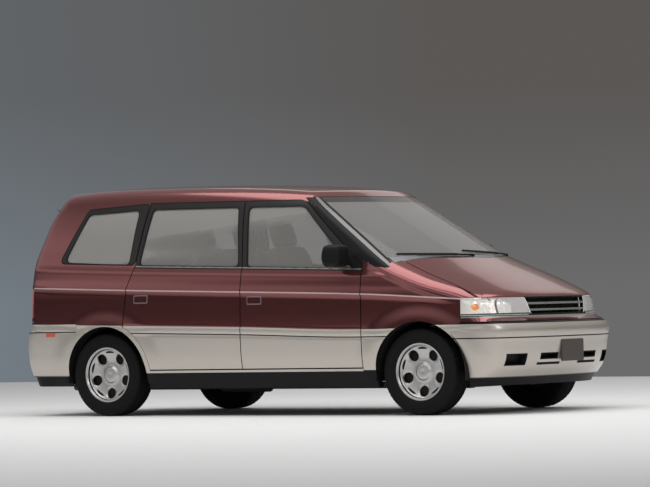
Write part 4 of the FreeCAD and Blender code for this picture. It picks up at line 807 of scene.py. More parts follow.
@dataclass(frozen=True)
class Finish:
    """A surface finish: two near colours mixed by fine grain, with gloss and a little dust."""

    name: str
    colour: Colour
    other: Colour
    metallic: float = 0.0
    roughness: float = 0.5
    spread: float = 0.1
    coat: float = 0.0
    coat_roughness: float = 0.03
    grain: float = 300.0
    depth: float = 0.05
    dust: float = 0.0
    dust_top: float = 0.6
    woven: bool = False
    glow: float = 0.0
    specular: float = 0.5
    dust_colour: Colour = (0.30, 0.27, 0.24)

    def dusted(self, tree: bpy.types.NodeTree, colour: bpy.types.NodeSocket) -> bpy.types.NodeSocket:
        """The colour with dust over it."""
        dust = tree.nodes.new("ShaderNodeGroup")
        dust.node_tree = DUST
        dust.inputs["Top"].default_value = self.dust_top
        share = tree.nodes.new("ShaderNodeMath")
        share.operation = "MULTIPLY"
        share.inputs[1].default_value = self.dust
        tree.links.new(dust.outputs["Mask"], share.inputs[0])
        return blend(tree, share.outputs[0], colour, (*self.dust_colour, 1.0))

    def make(self) -> bpy.types.Material:
        """The Blender material: grain or weave drives colour, roughness and normal."""
        material = bpy.data.materials.new(self.name)
        material.use_nodes = True
        tree = material.node_tree
        shader = tree.nodes["Principled BSDF"]
        link = tree.links.new
        pattern = tree.nodes.new("ShaderNodeGroup")
        pattern.node_tree = WEAVE if self.woven else GRAIN
        pattern.inputs["Scale"].default_value = self.grain
        pattern.inputs["Depth"].default_value = self.depth
        colour = blend(tree, pattern.outputs["Mask"], (*self.colour, 1.0), (*self.other, 1.0))
        if self.dust:
            colour = self.dusted(tree, colour)
        link(colour, shader.inputs["Base Color"])
        rough = tree.nodes.new("ShaderNodeMapRange")
        rough.inputs["To Min"].default_value = self.roughness
        rough.inputs["To Max"].default_value = min(1.0, self.roughness + self.spread)
        link(pattern.outputs["Mask"], rough.inputs["Value"])
        link(rough.outputs["Result"], shader.inputs["Roughness"])
        link(pattern.outputs["Normal"], shader.inputs["Normal"])
        shader.inputs["Metallic"].default_value = self.metallic
        shader.inputs["Specular IOR Level"].default_value = self.specular
        shader.inputs["Coat Weight"].default_value = self.coat
        shader.inputs["Coat Roughness"].default_value = self.coat_roughness
        # Emission in the finish's own colour; on the headlamp reflector it is a painted reflection.
        if self.glow:
            shader.inputs["Emission Color"].default_value = (*self.colour, 1.0)
            shader.inputs["Emission Strength"].default_value = self.glow
        return material


@dataclass(frozen=True)
class Pane:
    """Clear glazing: light passes straight through, and more is reflected at a slant; a pale tint adds
    painted reflection and see-through brightness.
    """

    name: str
    tint: Colour
    clear: float
    slant: float
    roughness: float = 0.02
    density: float = 1.6
    slant_blend: float = 0.35
    haze: float = 1.3

    def make(self) -> bpy.types.Material:
        """The Blender material: a gloss in the tint's colour whose cover grows with the view's slant."""
        material = bpy.data.materials.new(self.name)
        material.use_nodes = True
        tree = material.node_tree
        shader = tree.nodes["Principled BSDF"]
        link = tree.links.new
        shader.inputs["Base Color"].default_value = (*self.tint, 1.0)
        shader.inputs["Roughness"].default_value = self.roughness
        shader.inputs["IOR"].default_value = self.density
        slant = tree.nodes.new("ShaderNodeLayerWeight")
        slant.inputs["Blend"].default_value = self.slant_blend
        cover = tree.nodes.new("ShaderNodeMapRange")
        cover.inputs["To Min"].default_value = self.clear
        cover.inputs["To Max"].default_value = self.slant
        link(slant.outputs["Fresnel"], cover.inputs["Value"])
        link(cover.outputs["Result"], shader.inputs["Alpha"])
        haze = tree.nodes.new("ShaderNodeGroup")
        haze.node_tree = GRAIN
        haze.inputs["Scale"].default_value = self.haze
        rough = tree.nodes.new("ShaderNodeMapRange")
        rough.inputs["To Min"].default_value = self.roughness
        rough.inputs["To Max"].default_value = self.roughness * 2
        link(haze.outputs["Mask"], rough.inputs["Value"])
        link(rough.outputs["Result"], shader.inputs["Roughness"])
        return material


class Stock:
    """Every finish of the vehicle, made once."""

    def __init__(self) -> None:
        """Makes the materials."""
        self.maroon = Finish("maroon_metallic", (0.200, 0.064, 0.064), (0.235, 0.076, 0.076), 0.82, 0.14,
                             0.05, 0.45, grain=1600.0, depth=0.01, dust=0.02).make()
        self.silver = Finish("champagne_metallic", (0.50, 0.455, 0.41), (0.57, 0.525, 0.475), 0.60, 0.30,
                             0.08, 0.6, grain=1600.0, depth=0.01, dust=0.10, dust_top=0.5).make()
        self.black = Finish("black_trim", (0.006, 0.006, 0.0065), (0.010, 0.010, 0.011), 0.0, 0.38, 0.12,
                            grain=700.0, depth=0.08, dust=0.01, specular=0.14).make()
        self.grained = Finish("grained_black_plastic", (0.012, 0.012, 0.013), (0.020, 0.020, 0.021), 0.0,
                              0.50, 0.2, grain=900.0, depth=0.25, dust=0.02, specular=0.3).make()
        self.rubber = Finish("tyre_rubber", (0.005, 0.005, 0.005), (0.010, 0.010, 0.010), 0.0, 0.62, 0.2,
                             grain=350.0, depth=0.15, dust=0.01, dust_top=0.7, specular=0.12).make()
        self.alloy = Finish("cast_alloy", (0.50, 0.49, 0.48), (0.58, 0.57, 0.56), 0.80, 0.30, 0.12, 0.5,
                            grain=900.0, depth=0.05, dust=0.08).make()
        self.bright = Finish("bright_trim", (0.62, 0.62, 0.60), (0.70, 0.70, 0.68), 1.0, 0.14, 0.08,
                             grain=600.0, depth=0.02).make()
        # Light stripe along the crease: a real stripe, painted paler than it is as the crease's highlight.
        self.stripe = Finish("pinstripe", (0.52, 0.40, 0.40), (0.58, 0.46, 0.46), 0.3, 0.30, 0.05, 0.5,
                             grain=900.0, depth=0.01).make()
        # Grey-blue for the scuttle: black plastic painted lighter as its reflection of the studio light; the
        # headlamp divider uses it too.
        self.cowl = Finish("cowl_grey", (0.12, 0.13, 0.15), (0.15, 0.16, 0.18), 0.1, 0.35, 0.1, 0.2,
                           grain=900.0, depth=0.1).make()
        self.trim = Finish("cabin_trim", (0.20, 0.19, 0.175), (0.25, 0.24, 0.22), 0.0, 0.6, 0.2, grain=500.0,
                           depth=0.2).make()
        self.lining = Finish("head_lining", (0.42, 0.41, 0.38), (0.44, 0.43, 0.40), 0.0, 0.8, 0.1, grain=40.0,
                             depth=0.05).make()
        self.cloth = Finish("seat_cloth", (0.085, 0.078, 0.068), (0.12, 0.11, 0.098), 0.0, 0.85, 0.1,
                            grain=120.0, depth=0.25, woven=True).make()
        self.under = Finish("underbody_black", (0.007, 0.007, 0.007), (0.014, 0.014, 0.014), 0.1, 0.6, 0.2,
                            grain=60.0, depth=0.2, dust=0.03, specular=0.2).make()
        self.iron = Finish("cast_iron", (0.05, 0.05, 0.05), (0.08, 0.075, 0.07), 0.6, 0.5, 0.2, grain=250.0,
                           depth=0.3, dust=0.05).make()
        self.plate = Finish("blank_plate", (0.065, 0.054, 0.047), (0.075, 0.063, 0.055), 0.0, 0.45, 0.1,
                            grain=500.0, depth=0.05).make()
        self.amber = Finish("amber_lens", (0.75, 0.22, 0.02), (0.85, 0.30, 0.05), 0.0, 0.12, 0.05, 1.0,
                            grain=120.0, depth=0.3, glow=0.25).make()
        self.red = Finish("red_lens", (0.34, 0.020, 0.015), (0.42, 0.030, 0.018), 0.0, 0.12, 0.05, 0.5,
                          grain=120.0, depth=0.3, glow=0.1).make()
        self.orange = Finish("orange_lens", (0.44, 0.070, 0.025), (0.52, 0.09, 0.03), 0.0, 0.12, 0.05, 0.5,
                             grain=120.0, depth=0.3, glow=0.12).make()
        # Headlamp reflector: silvered, with a glow that paints in its bright reflection.
        self.mirror = Finish("silvered_reflector", (0.88, 0.85, 0.80), (0.95, 0.93, 0.90), 0.7, 0.14, 0.1,
                             grain=60.0, depth=0.6, glow=0.42).make()
        self.frame = Finish("window_frame", (0.009, 0.008, 0.0075), (0.014, 0.012, 0.011), 0.0, 0.30, 0.08,
                            0.10, grain=900.0, depth=0.02, specular=0.3).make()
        self.sill = Finish("sill_trim", (0.22, 0.25, 0.22), (0.28, 0.31, 0.28), 0.4, 0.25, 0.08, grain=700.0,
                           depth=0.02).make()
        self.line = Finish("light_trim", (0.14, 0.105, 0.11), (0.18, 0.135, 0.14), 0.2, 0.35, 0.08,
                           grain=700.0, depth=0.02).make()
        self.pearl = Finish("pillar_trim", (0.13, 0.125, 0.13), (0.16, 0.155, 0.16), 0.3, 0.30, 0.08, 0.3,
                            grain=700.0, depth=0.02).make()
        # Pale pane colours: painted reflection and see-through brightness of the glass.
        self.glass = Pane("window_glass", (0.58, 0.56, 0.53), 0.13, 0.95).make()
        self.screen = Pane("screen_glass", (0.31, 0.30, 0.29), 0.13, 0.95).make()
        self.lens = Pane("lamp_lens", (0.70, 0.70, 0.70), 0.12, 0.9).make()


STOCK = Stock()


@dataclass(frozen=True)
class Studio:
    """Pale floor, soft lights, backdrop and the photograph's view."""

    eye: Spot = (17.0060, -24.7828, 0.8765)
    yaw: float = 2.16997074
    pitch: float = 0.0128650
    roll: float = -0.0228367
    focal: float = 3995.62
    frame_width: float = 650.0
    sensor: float = 36.0
    sight: float = 300.0
    floor_radius: float = 24.0
    floor_middle: Pair = (-5.884, -14.217)
    floor_rings: int = 12
    floor_spokes: int = 97
    target: Spot = (0.0, 0.0, 0.6)
    lamps: tuple[tuple[str, Spot, Pair, float], ...] = (
        ("overhead_soft", (0.5, -1.0, 7.0), (10.0, 5.0), 400.0),
        ("front_soft", (9.0, -5.0, 6.0), (5.0, 3.0), 150.0),
        ("side_soft", (0.5, -8.0, 9.0), (11.0, 3.0), 170.0),
        ("back_soft", (-3.0, 9.0, 7.0), (9.0, 4.0), 60.0))
    backdrop: Stops = ((0.0, (0.150, 0.160, 0.170)), (0.015, (0.135, 0.142, 0.148)),
                       (0.05, (0.105, 0.104, 0.104)), (0.16, (0.105, 0.102, 0.100)),
                       (0.30, (0.27, 0.26, 0.25)), (1.0, (0.60, 0.60, 0.60)))
    dark_side: Stops = ((0.0, (0.004, 0.004, 0.004)), (0.08, (0.008, 0.008, 0.008)),
                        (0.20, (0.22, 0.22, 0.22)), (0.33, (0.90, 0.90, 0.90)), (0.50, (0.50, 0.50, 0.50)),
                        (0.64, (0.24, 0.24, 0.24)), (1.0, (0.35, 0.35, 0.35)))
    halves: Pair = (-0.35, 0.25)
    cold: Colour = (1.16, 1.28, 1.38)
    warm: Colour = (0.98, 0.92, 0.88)
    tint_ends: Pair = (-0.64, -0.54)
    even_light: Colour = (0.40, 0.40, 0.41)

    def camera(self) -> None:
        """Camera at the photograph's viewing angle."""
        y, p = self.yaw, self.pitch
        ahead = np.array([math.cos(p) * math.cos(y), math.cos(p) * math.sin(y), math.sin(p)])
        right = np.cross(ahead, Way.TOP.value)
        right = right / np.linalg.norm(right)
        up = np.cross(right, ahead)
        c, s = math.cos(self.roll), math.sin(self.roll)
        data = bpy.data.cameras.new("photo_camera")
        data.lens = self.focal * self.sensor / self.frame_width
        data.sensor_width = self.sensor
        data.clip_end = self.sight
        thing = bpy.data.objects.new("photo_camera", data)
        bpy.context.scene.collection.objects.link(thing)
        matrix = np.eye(4)
        matrix[:3] = np.stack([c * right + s * up, c * up - s * right, -ahead, self.eye], -1)
        thing.matrix_world = Matrix(matrix.tolist())
        bpy.context.scene.camera = thing

    def lamp(self, name: str, place: Spot, size: Pair, power: float) -> None:
        """Soft rectangular lamp at `place`, turned to the vehicle."""
        data = bpy.data.lights.new(name, "AREA")
        data.shape = "RECTANGLE"
        data.size, data.size_y = size
        data.energy = power
        thing = bpy.data.objects.new(name, data)
        bpy.context.scene.collection.objects.link(thing)
        thing.location = place
        way = Vector(self.target) - Vector(place)
        thing.rotation_euler = way.to_track_quat("-Z", "Y").to_euler()

    def floor(self) -> None:
        """Round pale floor: rings of a disc at zero height."""
        r, a = np.meshgrid(np.linspace(0.0, self.floor_radius, self.floor_rings),
                           np.linspace(0, 2 * math.pi, self.floor_spokes), indexing="ij")
        disc = stacked(r * np.cos(a), r * np.sin(a), 0.0) + np.array([*self.floor_middle, 0.0])
        finish = Finish("pale_floor", (0.80, 0.80, 0.79), (0.82, 0.82, 0.81), 0.0, 0.6, 0.1, grain=3.0,
                        depth=0.0)
        mesh_object("studio_floor", *Shell().grid(disc / MILLI, 0, Way.TOP).arrays(),
                             [finish.make()])

    @staticmethod
    def ramp(tree: bpy.types.NodeTree, stops: Stops, value: bpy.types.NodeSocket) -> bpy.types.NodeSocket:
        """Colour ramp over a value."""
        node = tree.nodes.new("ShaderNodeValToRGB")
        elements = node.color_ramp.elements
        while len(elements) < len(stops):
            elements.new(0.5)
        for element, (spot, colour) in zip(elements, stops):
            element.position = spot
            element.color = (*colour, 1.0)
        tree.links.new(value, node.inputs["Fac"])
        return node.outputs["Color"]

    @staticmethod
    def rise(tree: bpy.types.NodeTree, value: bpy.types.NodeSocket, ends: Pair) -> bpy.types.NodeSocket:
        """Share that goes from 0 to 1 while the value goes from one end to the other."""
        node = tree.nodes.new("ShaderNodeMapRange")
        node.inputs["From Min"].default_value, node.inputs["From Max"].default_value = ends
        tree.links.new(value, node.inputs["Value"])
        return node.outputs["Result"]

    @staticmethod
    def either(tree: bpy.types.NodeTree, first: bpy.types.NodeSocket,
               second: bpy.types.NodeSocket) -> bpy.types.NodeSocket:
        """1 where one or both of two masks are 1."""
        node = tree.nodes.new("ShaderNodeMath")
        node.operation = "ADD"
        node.use_clamp = True
        tree.links.new(first, node.inputs[0])
        tree.links.new(second, node.inputs[1])
        return node.outputs[0]

    def world(self) -> None:
        """Grey studio that lights evenly; camera, gloss and glass see a backdrop that brightens overhead."""
        world = bpy.data.worlds.new("studio")
        bpy.context.scene.world = world
        world.use_nodes = True
        tree = world.node_tree
        place = tree.nodes.new("ShaderNodeTexCoord")
        split = tree.nodes.new("ShaderNodeSeparateXYZ")
        tree.links.new(place.outputs["Generated"], split.inputs["Vector"])
        x, y, z = (split.outputs[axis] for axis in "XYZ")
        tint = blend(tree, self.rise(tree, x, self.tint_ends), (*self.cold, 1.0), (*self.warm, 1.0))
        front = blend(tree, 1.0, self.ramp(tree, self.backdrop, z), tint, "MULTIPLY")
        seen = blend(tree, self.rise(tree, y, self.halves), self.ramp(tree, self.dark_side, z), front)
        rays = tree.nodes.new("ShaderNodeLightPath").outputs
        mask = self.either(tree, rays["Is Camera Ray"], rays["Is Glossy Ray"])
        mask = self.either(tree, mask, rays["Is Transmission Ray"])
        light = blend(tree, mask, (*self.even_light, 1.0), seen)
        tree.links.new(light, tree.nodes["Background"].inputs["Color"])

    def build(self) -> None:
        """Sets the whole studio up."""
        bpy.context.scene.view_settings.view_transform = "Standard"
        self.camera()
        self.world()
        self.floor()
        for lamp in self.lamps:
            self.lamp(*lamp)


class Tone(IntEnum):
    """Place of each finish in the bodywork's list."""

    MAROON = 0
    SILVER = 1
    BLACK = 2
    # stripe on the crease, whose pale colour is partly a painted highlight
    STRIPE = 3
    FRAME = 4
    SILL = 5
    LINING = 6
    # scuttle grey, a painted reflection on black plastic
    COWL = 7
    LINE = 8
    PEARL = 9


Band = tuple[Line, Line, int, Tone]
BODY_FINISHES = [STOCK.maroon, STOCK.silver, STOCK.black, STOCK.stripe, STOCK.frame, STOCK.sill, STOCK.lining,
                 STOCK.cowl, STOCK.line, STOCK.pearl]


def on_side(x: Array, z: Array, nose: bool = False) -> Array:
    """Points of the side at the places x and heights z, on the rounded body."""
    return FORM.settle(FORM.skin(x, FORM.run_at_height(x, z, nose), nose), nose)


def strip(left: Line, right: Line, low: Line, high: Line, columns: int, rows: int,
          nose: bool = False) -> Array:
    """Grid of the side between two lines read by height and two read by place."""
    return on_side(*plot(left, right, low, high, even(columns), even(rows)), nose)


def circle_top(centre: Pair, radius: float) -> Line:
    """Upper half of a circle, as a height for each place."""
    return lambda x: centre[1] + np.sqrt(np.maximum(radius ** 2 - (x - centre[0]) ** 2, 0))


def circle_end(centre: Pair, radius: float, way: int) -> Line:
    """One side of a circle, as a place for each height."""
    return lambda z: centre[0] + way * np.sqrt(np.maximum(radius ** 2 - (z - centre[1]) ** 2, 0))


def upright_below(line: Line, height: float) -> Line:
    """The line read by height, kept at its place at `height` for everything lower."""
    return lambda z: line(np.maximum(z, height))


def shifted(line: Line, offset: float) -> Line:
    """The line moved by `offset`."""
    return lambda at: line(at) + offset


def span(first: float, last: float, columns: int, rows: int) -> tuple[Array, Array]:
    """Even places from `first` to `last` across a grid, and shares from 0 to 1 up it."""
    return np.meshgrid(np.linspace(first, last, columns), even(rows))


def corner_at(z: Array, nose: bool, start: float, steps: int = 12) -> tuple[Array, Array]:
    """Place and half width of the sharp corner between the side and the nose or tail."""
    x = np.full_like(z, start)
    for _ in range(steps):
        y = FORM.side(x, z, nose)
        x = FORM.front(y, z) if nose else FORM.rear(y, z)
    return x, y


def wrapped(z: Array, first: Array | float, corner: tuple[Array, Array], ends: Array, columns: int,
            nose: bool) -> Array:
    """Rows round a corner of the body: along the side to the corner, then over the end.

    Args:
        z: heights, one for each column of the grid.
        first: place or places at which the side's rows start.
        corner: place and half width of the sharp corner at each height.
        ends: half widths over the end, one row each.
        columns: number of rows along the side.
        nose: whether the corner is the nose's.

    Returns:
        Points on the rounded body.
    """
    xs = first + (corner[0] - first) * even(columns)[:, None]
    side = stacked(xs, FORM.side(xs, np.broadcast_to(z, xs.shape), nose), z)
    end = stacked(FORM.front(ends, z) if nose else FORM.rear(ends, z), ends, z)
    return FORM.settle(np.concatenate([side, end]), nose)


@dataclass(frozen=True)
class Seams:
    """Where the panels meet, seen from the side, in millimetres."""

    gap: float = 3.5
    foot: float = 345.0
    sill_foot: float = 205.0
    groove: float = 55.0
    groove_half: float = 4.0
    stripe_half: float = 5.0
    ledge: float = 52.0
    seal_low: float = 22.0
    seal_top: float = 13.0
    trim_top: float = 4.0
    window_round: float = 34.0
    quarter_round: float = 42.0
    pane_lap: float = 7.0
    arch_gap: float = 36.0
    arch_end: float = 690.0
    far_back: float = -1e4
    pillar: Corners = ((-76, 345), (-67, 1100.3), (-138, 1583))
    front_edge: Corners = ((990, 345), (990.1, 1084.7), (429.8, 1560.5), (357, 1577))
    rear_edge: Corners = ((-1153, 571), (-1153, 724.9), (-1125, 955), (-1058.2, 1124.5), (-1012.4, 1592.5))
    front_window: Corners = ((-17.9, 1098.6), (905.3, 1065.7), (893, 1077.2), (424.2, 1512), (384, 1528.5),
                             (-87, 1534.5))
    rear_window: Corners = ((-102.7, 1100.3), (-185.3, 1536.2), (-972.3, 1543.2), (-1021.4, 1131.4))
    front_frame: Corners = ((-63.6, 1095.7), (986.5, 1062.4), (986.5, 1083.0), (427.5, 1557.5),
                            (356.5, 1573.5), (-134, 1579.5))
    rear_frame: Corners = ((-70.6, 1095.4), (-141.4, 1579.6), (-1008.9, 1588.9), (-1056.5, 1126.5))
    quarter_window: Corners = ((-1123, 1134.9), (-1104, 1543), (-1578, 1522.4), (-1745.8, 1166))
    quarter_seal: Corners = ((-1061.7, 1127.6), (-1015.9, 1596), (-1594, 1566), (-1806, 1153))
    gutter_line: Corners = ((-2400, 1566), (-1594, 1566), (-1012, 1596), (-138, 1586.5), (357, 1580.5),
                            (426, 1564), (520, 1520))

    @staticmethod
    def by_height(corners: Corners) -> Line:
        """Place of a line of corners, read by height."""
        return through(*[(z, x) for x, z in corners])

    def split(self, z: Array) -> Array:
        """Place of the cut between the doors."""
        return self.by_height(self.pillar)(z)

    def front(self, z: Array) -> Array:
        """Place of the front door's front edge."""
        return self.by_height(self.front_edge)(z)

    def rear(self, z: Array) -> Array:
        """Place of the rear door's rear edge, which follows the wheel arch low down."""
        arch = circle_end(FORM.rear_wheel, FORM.arch + self.arch_gap, 1)(z)
        return np.maximum(self.by_height(self.rear_edge)(z), np.where(z < self.arch_end, arch, self.far_back))

    def gutter(self, x: Array) -> Array:
        """Height of the roof's lower edge."""
        return through(*self.gutter_line)(x)


SEAMS = Seams()
GROOVE = shifted(FORM.tone, -SEAMS.groove)
GROOVE_LOW = shifted(GROOVE, -SEAMS.groove_half)
GROOVE_HIGH = shifted(GROOVE, SEAMS.groove_half)
STRIPE_LOW = shifted(FORM.crease, -SEAMS.stripe_half)
STRIPE_HIGH = shifted(FORM.crease, SEAMS.stripe_half)
LEDGE = shifted(FORM.belt, -SEAMS.ledge)
SEAL_LOW = shifted(FORM.belt, -SEAMS.seal_low)
SEAL_TOP = shifted(FORM.belt, -SEAMS.seal_top)
TRIM_TOP = shifted(FORM.belt, -SEAMS.trim_top)


def silver_bands(foot: float) -> list[Band]:
    """Silver from the foot to the colours' line, with its black groove."""
    return [(level(foot), GROOVE_LOW, 10, Tone.SILVER), (GROOVE_LOW, GROOVE_HIGH, 3, Tone.BLACK),
            (GROOVE_HIGH, FORM.tone, 6, Tone.SILVER)]


def maroon_bands(rows: int) -> list[Band]:
    """Maroon from the colours' line to the ledge, with a light stripe on its crease: a real stripe whose pale
    colour is partly a painted highlight.
    """
    return [(FORM.tone, STRIPE_LOW, rows, Tone.MAROON), (STRIPE_LOW, STRIPE_HIGH, 3, Tone.STRIPE),
            (STRIPE_HIGH, LEDGE, 8, Tone.MAROON)]


BELT_BANDS: list[Band] = [(LEDGE, SEAL_LOW, 5, Tone.MAROON), (SEAL_LOW, SEAL_TOP, 2, Tone.BLACK),
                          (SEAL_TOP, TRIM_TOP, 2, Tone.SILL)]


def banded(shell: Shell, left: Line, right: Line, bands: Sequence[Band], columns: int,
           nose: bool = False) -> None:
    """Adds the side's bands one over the other."""
    for low, high, rows, tone in bands:
        shell.grid(strip(left, right, low, high, columns, rows, nose), tone, Way.SIDE)


def ring(shell: Shell, inner: Array, outer: Array, rows: int, tone: Tone) -> None:
    """Adds a closed ring on the side between two outlines of as many points."""
    points = loop_grid(inner, outer, rows)
    shell.grid(on_side(points[..., 0], points[..., 1]), tone, Way.SIDE)


def inset(points: Array, deep: float) -> Array:
    """Grid moved inwards: along the line to the body's middle axis at the same place."""
    way = FORM.core(points, False) - points
    return points + way * (deep / np.linalg.norm(way, axis=-1))[..., None]


def side_pane(corners: Corners, radius: float) -> Shell:
    """A side window's pane, which laps its frame and is set into it."""
    rows = filled(outline(grown(corners, SEAMS.pane_lap), radius), 8)
    return Shell().grid(inset(on_side(rows[..., 0], rows[..., 1]), SEAMS.pane_lap), 0, Way.SIDE)


@dataclass(frozen=True)
class Handle:
    """Recessed door handle: light frame, black hollow and a flap across it."""

    x: float
    z: float
    half: float = 58.0
    tall: float = 23.0
    deep: float = 20.0
    frame: tuple[tuple[float, float, float], ...] = ((9.0, 14.0, 1.0), (4.0, 10.0, 4.0), (0.0, 8.0, 2.5))
    flap_sides: Pair = (3.0, 12.0)
    flap_heights: Pair = (9.0, 20.0)
    flap_lift: float = 1.0

    def add(self, shell: Shell) -> None:
        """Adds the frame's rings (grown by, corner, height), the hollow's wall and floor, and the flap."""
        rings = []
        for grow, corner, lift in self.frame:
            a, b = self.half + grow, self.tall + grow
            edge = outline(rectangle((self.x - a, self.x + a), (self.z - b, self.z + b)), corner)
            rings.append(on_side(edge[:, 0], edge[:, 1]) + np.array([0, lift, 0]))
        shell.grid(closed(np.stack(rings)), Tone.LINE, Way.SIDE)
        floor = rings[-1] - np.array([0, self.deep + lift, 0])
        shell.grid(closed(np.stack([rings[-1], floor])), Tone.BLACK)
        shell.grid(filled(floor, 4), Tone.BLACK, Way.SIDE)
        rear, front = self.flap_sides
        x, z = np.meshgrid(np.linspace(self.x - self.half + rear, self.x + self.half - front, 12),
                           self.z + np.linspace(*self.flap_heights, 6))
        shell.grid(on_side(x, z) + np.array([0, self.flap_lift, 0]), Tone.MAROON, Way.SIDE)


@dataclass(frozen=True)
class Door:
    """A side door with its frame, trim, handle and glass, drawn on the left."""

    name: str
    left: Line
    right: Line
    window: Corners
    frame: Corners
    handle: Handle
    columns: int = 56
    frame_round: float = 6.0
    seal: float = 9.0
    glass: float = 4.0
    thin: float = 34.0
    thick: float = 64.0
    change: Pair = (1125.0, 80.0)

    def wall(self, points: Array) -> Array:
        """Thickness: thick below the window and thin in the frame, eased between."""
        top, run = self.change
        return self.thin + (self.thick - self.thin) * ease((top - points[:, 2]) / run)

    def skin(self) -> Shell:
        """Outer skin."""
        shell = Shell()
        bands = silver_bands(SEAMS.foot + SEAMS.gap) + maroon_bands(14) + BELT_BANDS
        banded(shell, self.left, self.right, bands, self.columns)
        inner, edge = outline(self.window, SEAMS.window_round), outline(self.frame, self.frame_round)
        rim = outline(grown(self.window, self.seal), SEAMS.window_round)
        ring(shell, inner, rim, 2, Tone.BLACK)
        ring(shell, rim, edge, 4, Tone.FRAME)
        self.handle.add(shell)
        return shell

    def build(self, side: Side) -> None:
        """Builds the door on one side."""
        body = f"{self.name}_{side.word}"
        piece(f"{self.name}_panel_{side.word}", self.skin(), BODY_FINISHES, body, [body],
              (side,), self.wall, Tone.LINING, Tone.BLACK, Way.INNER)
        piece(f"{self.name}_pane_{side.word}", side_pane(self.window, SEAMS.window_round), [STOCK.glass],
              body, [f"{self.name}_glass_{side.word}"], (side,), self.glass)


@dataclass(frozen=True)
class Doors:
    """The four side doors."""

    front: Door = Door("front_door", shifted(SEAMS.split, SEAMS.gap), shifted(SEAMS.front, -SEAMS.gap),
                       SEAMS.front_window, SEAMS.front_frame, Handle(56.0, 848.0))
    rear: Door = Door("rear_door", shifted(SEAMS.rear, SEAMS.gap), shifted(SEAMS.split, -SEAMS.gap),
                      SEAMS.rear_window, SEAMS.rear_frame, Handle(-988.0, 874.0))

    def build(self) -> None:
        """Builds both sides."""
        for side in Side:
            self.front.build(side)
            self.rear.build(side)


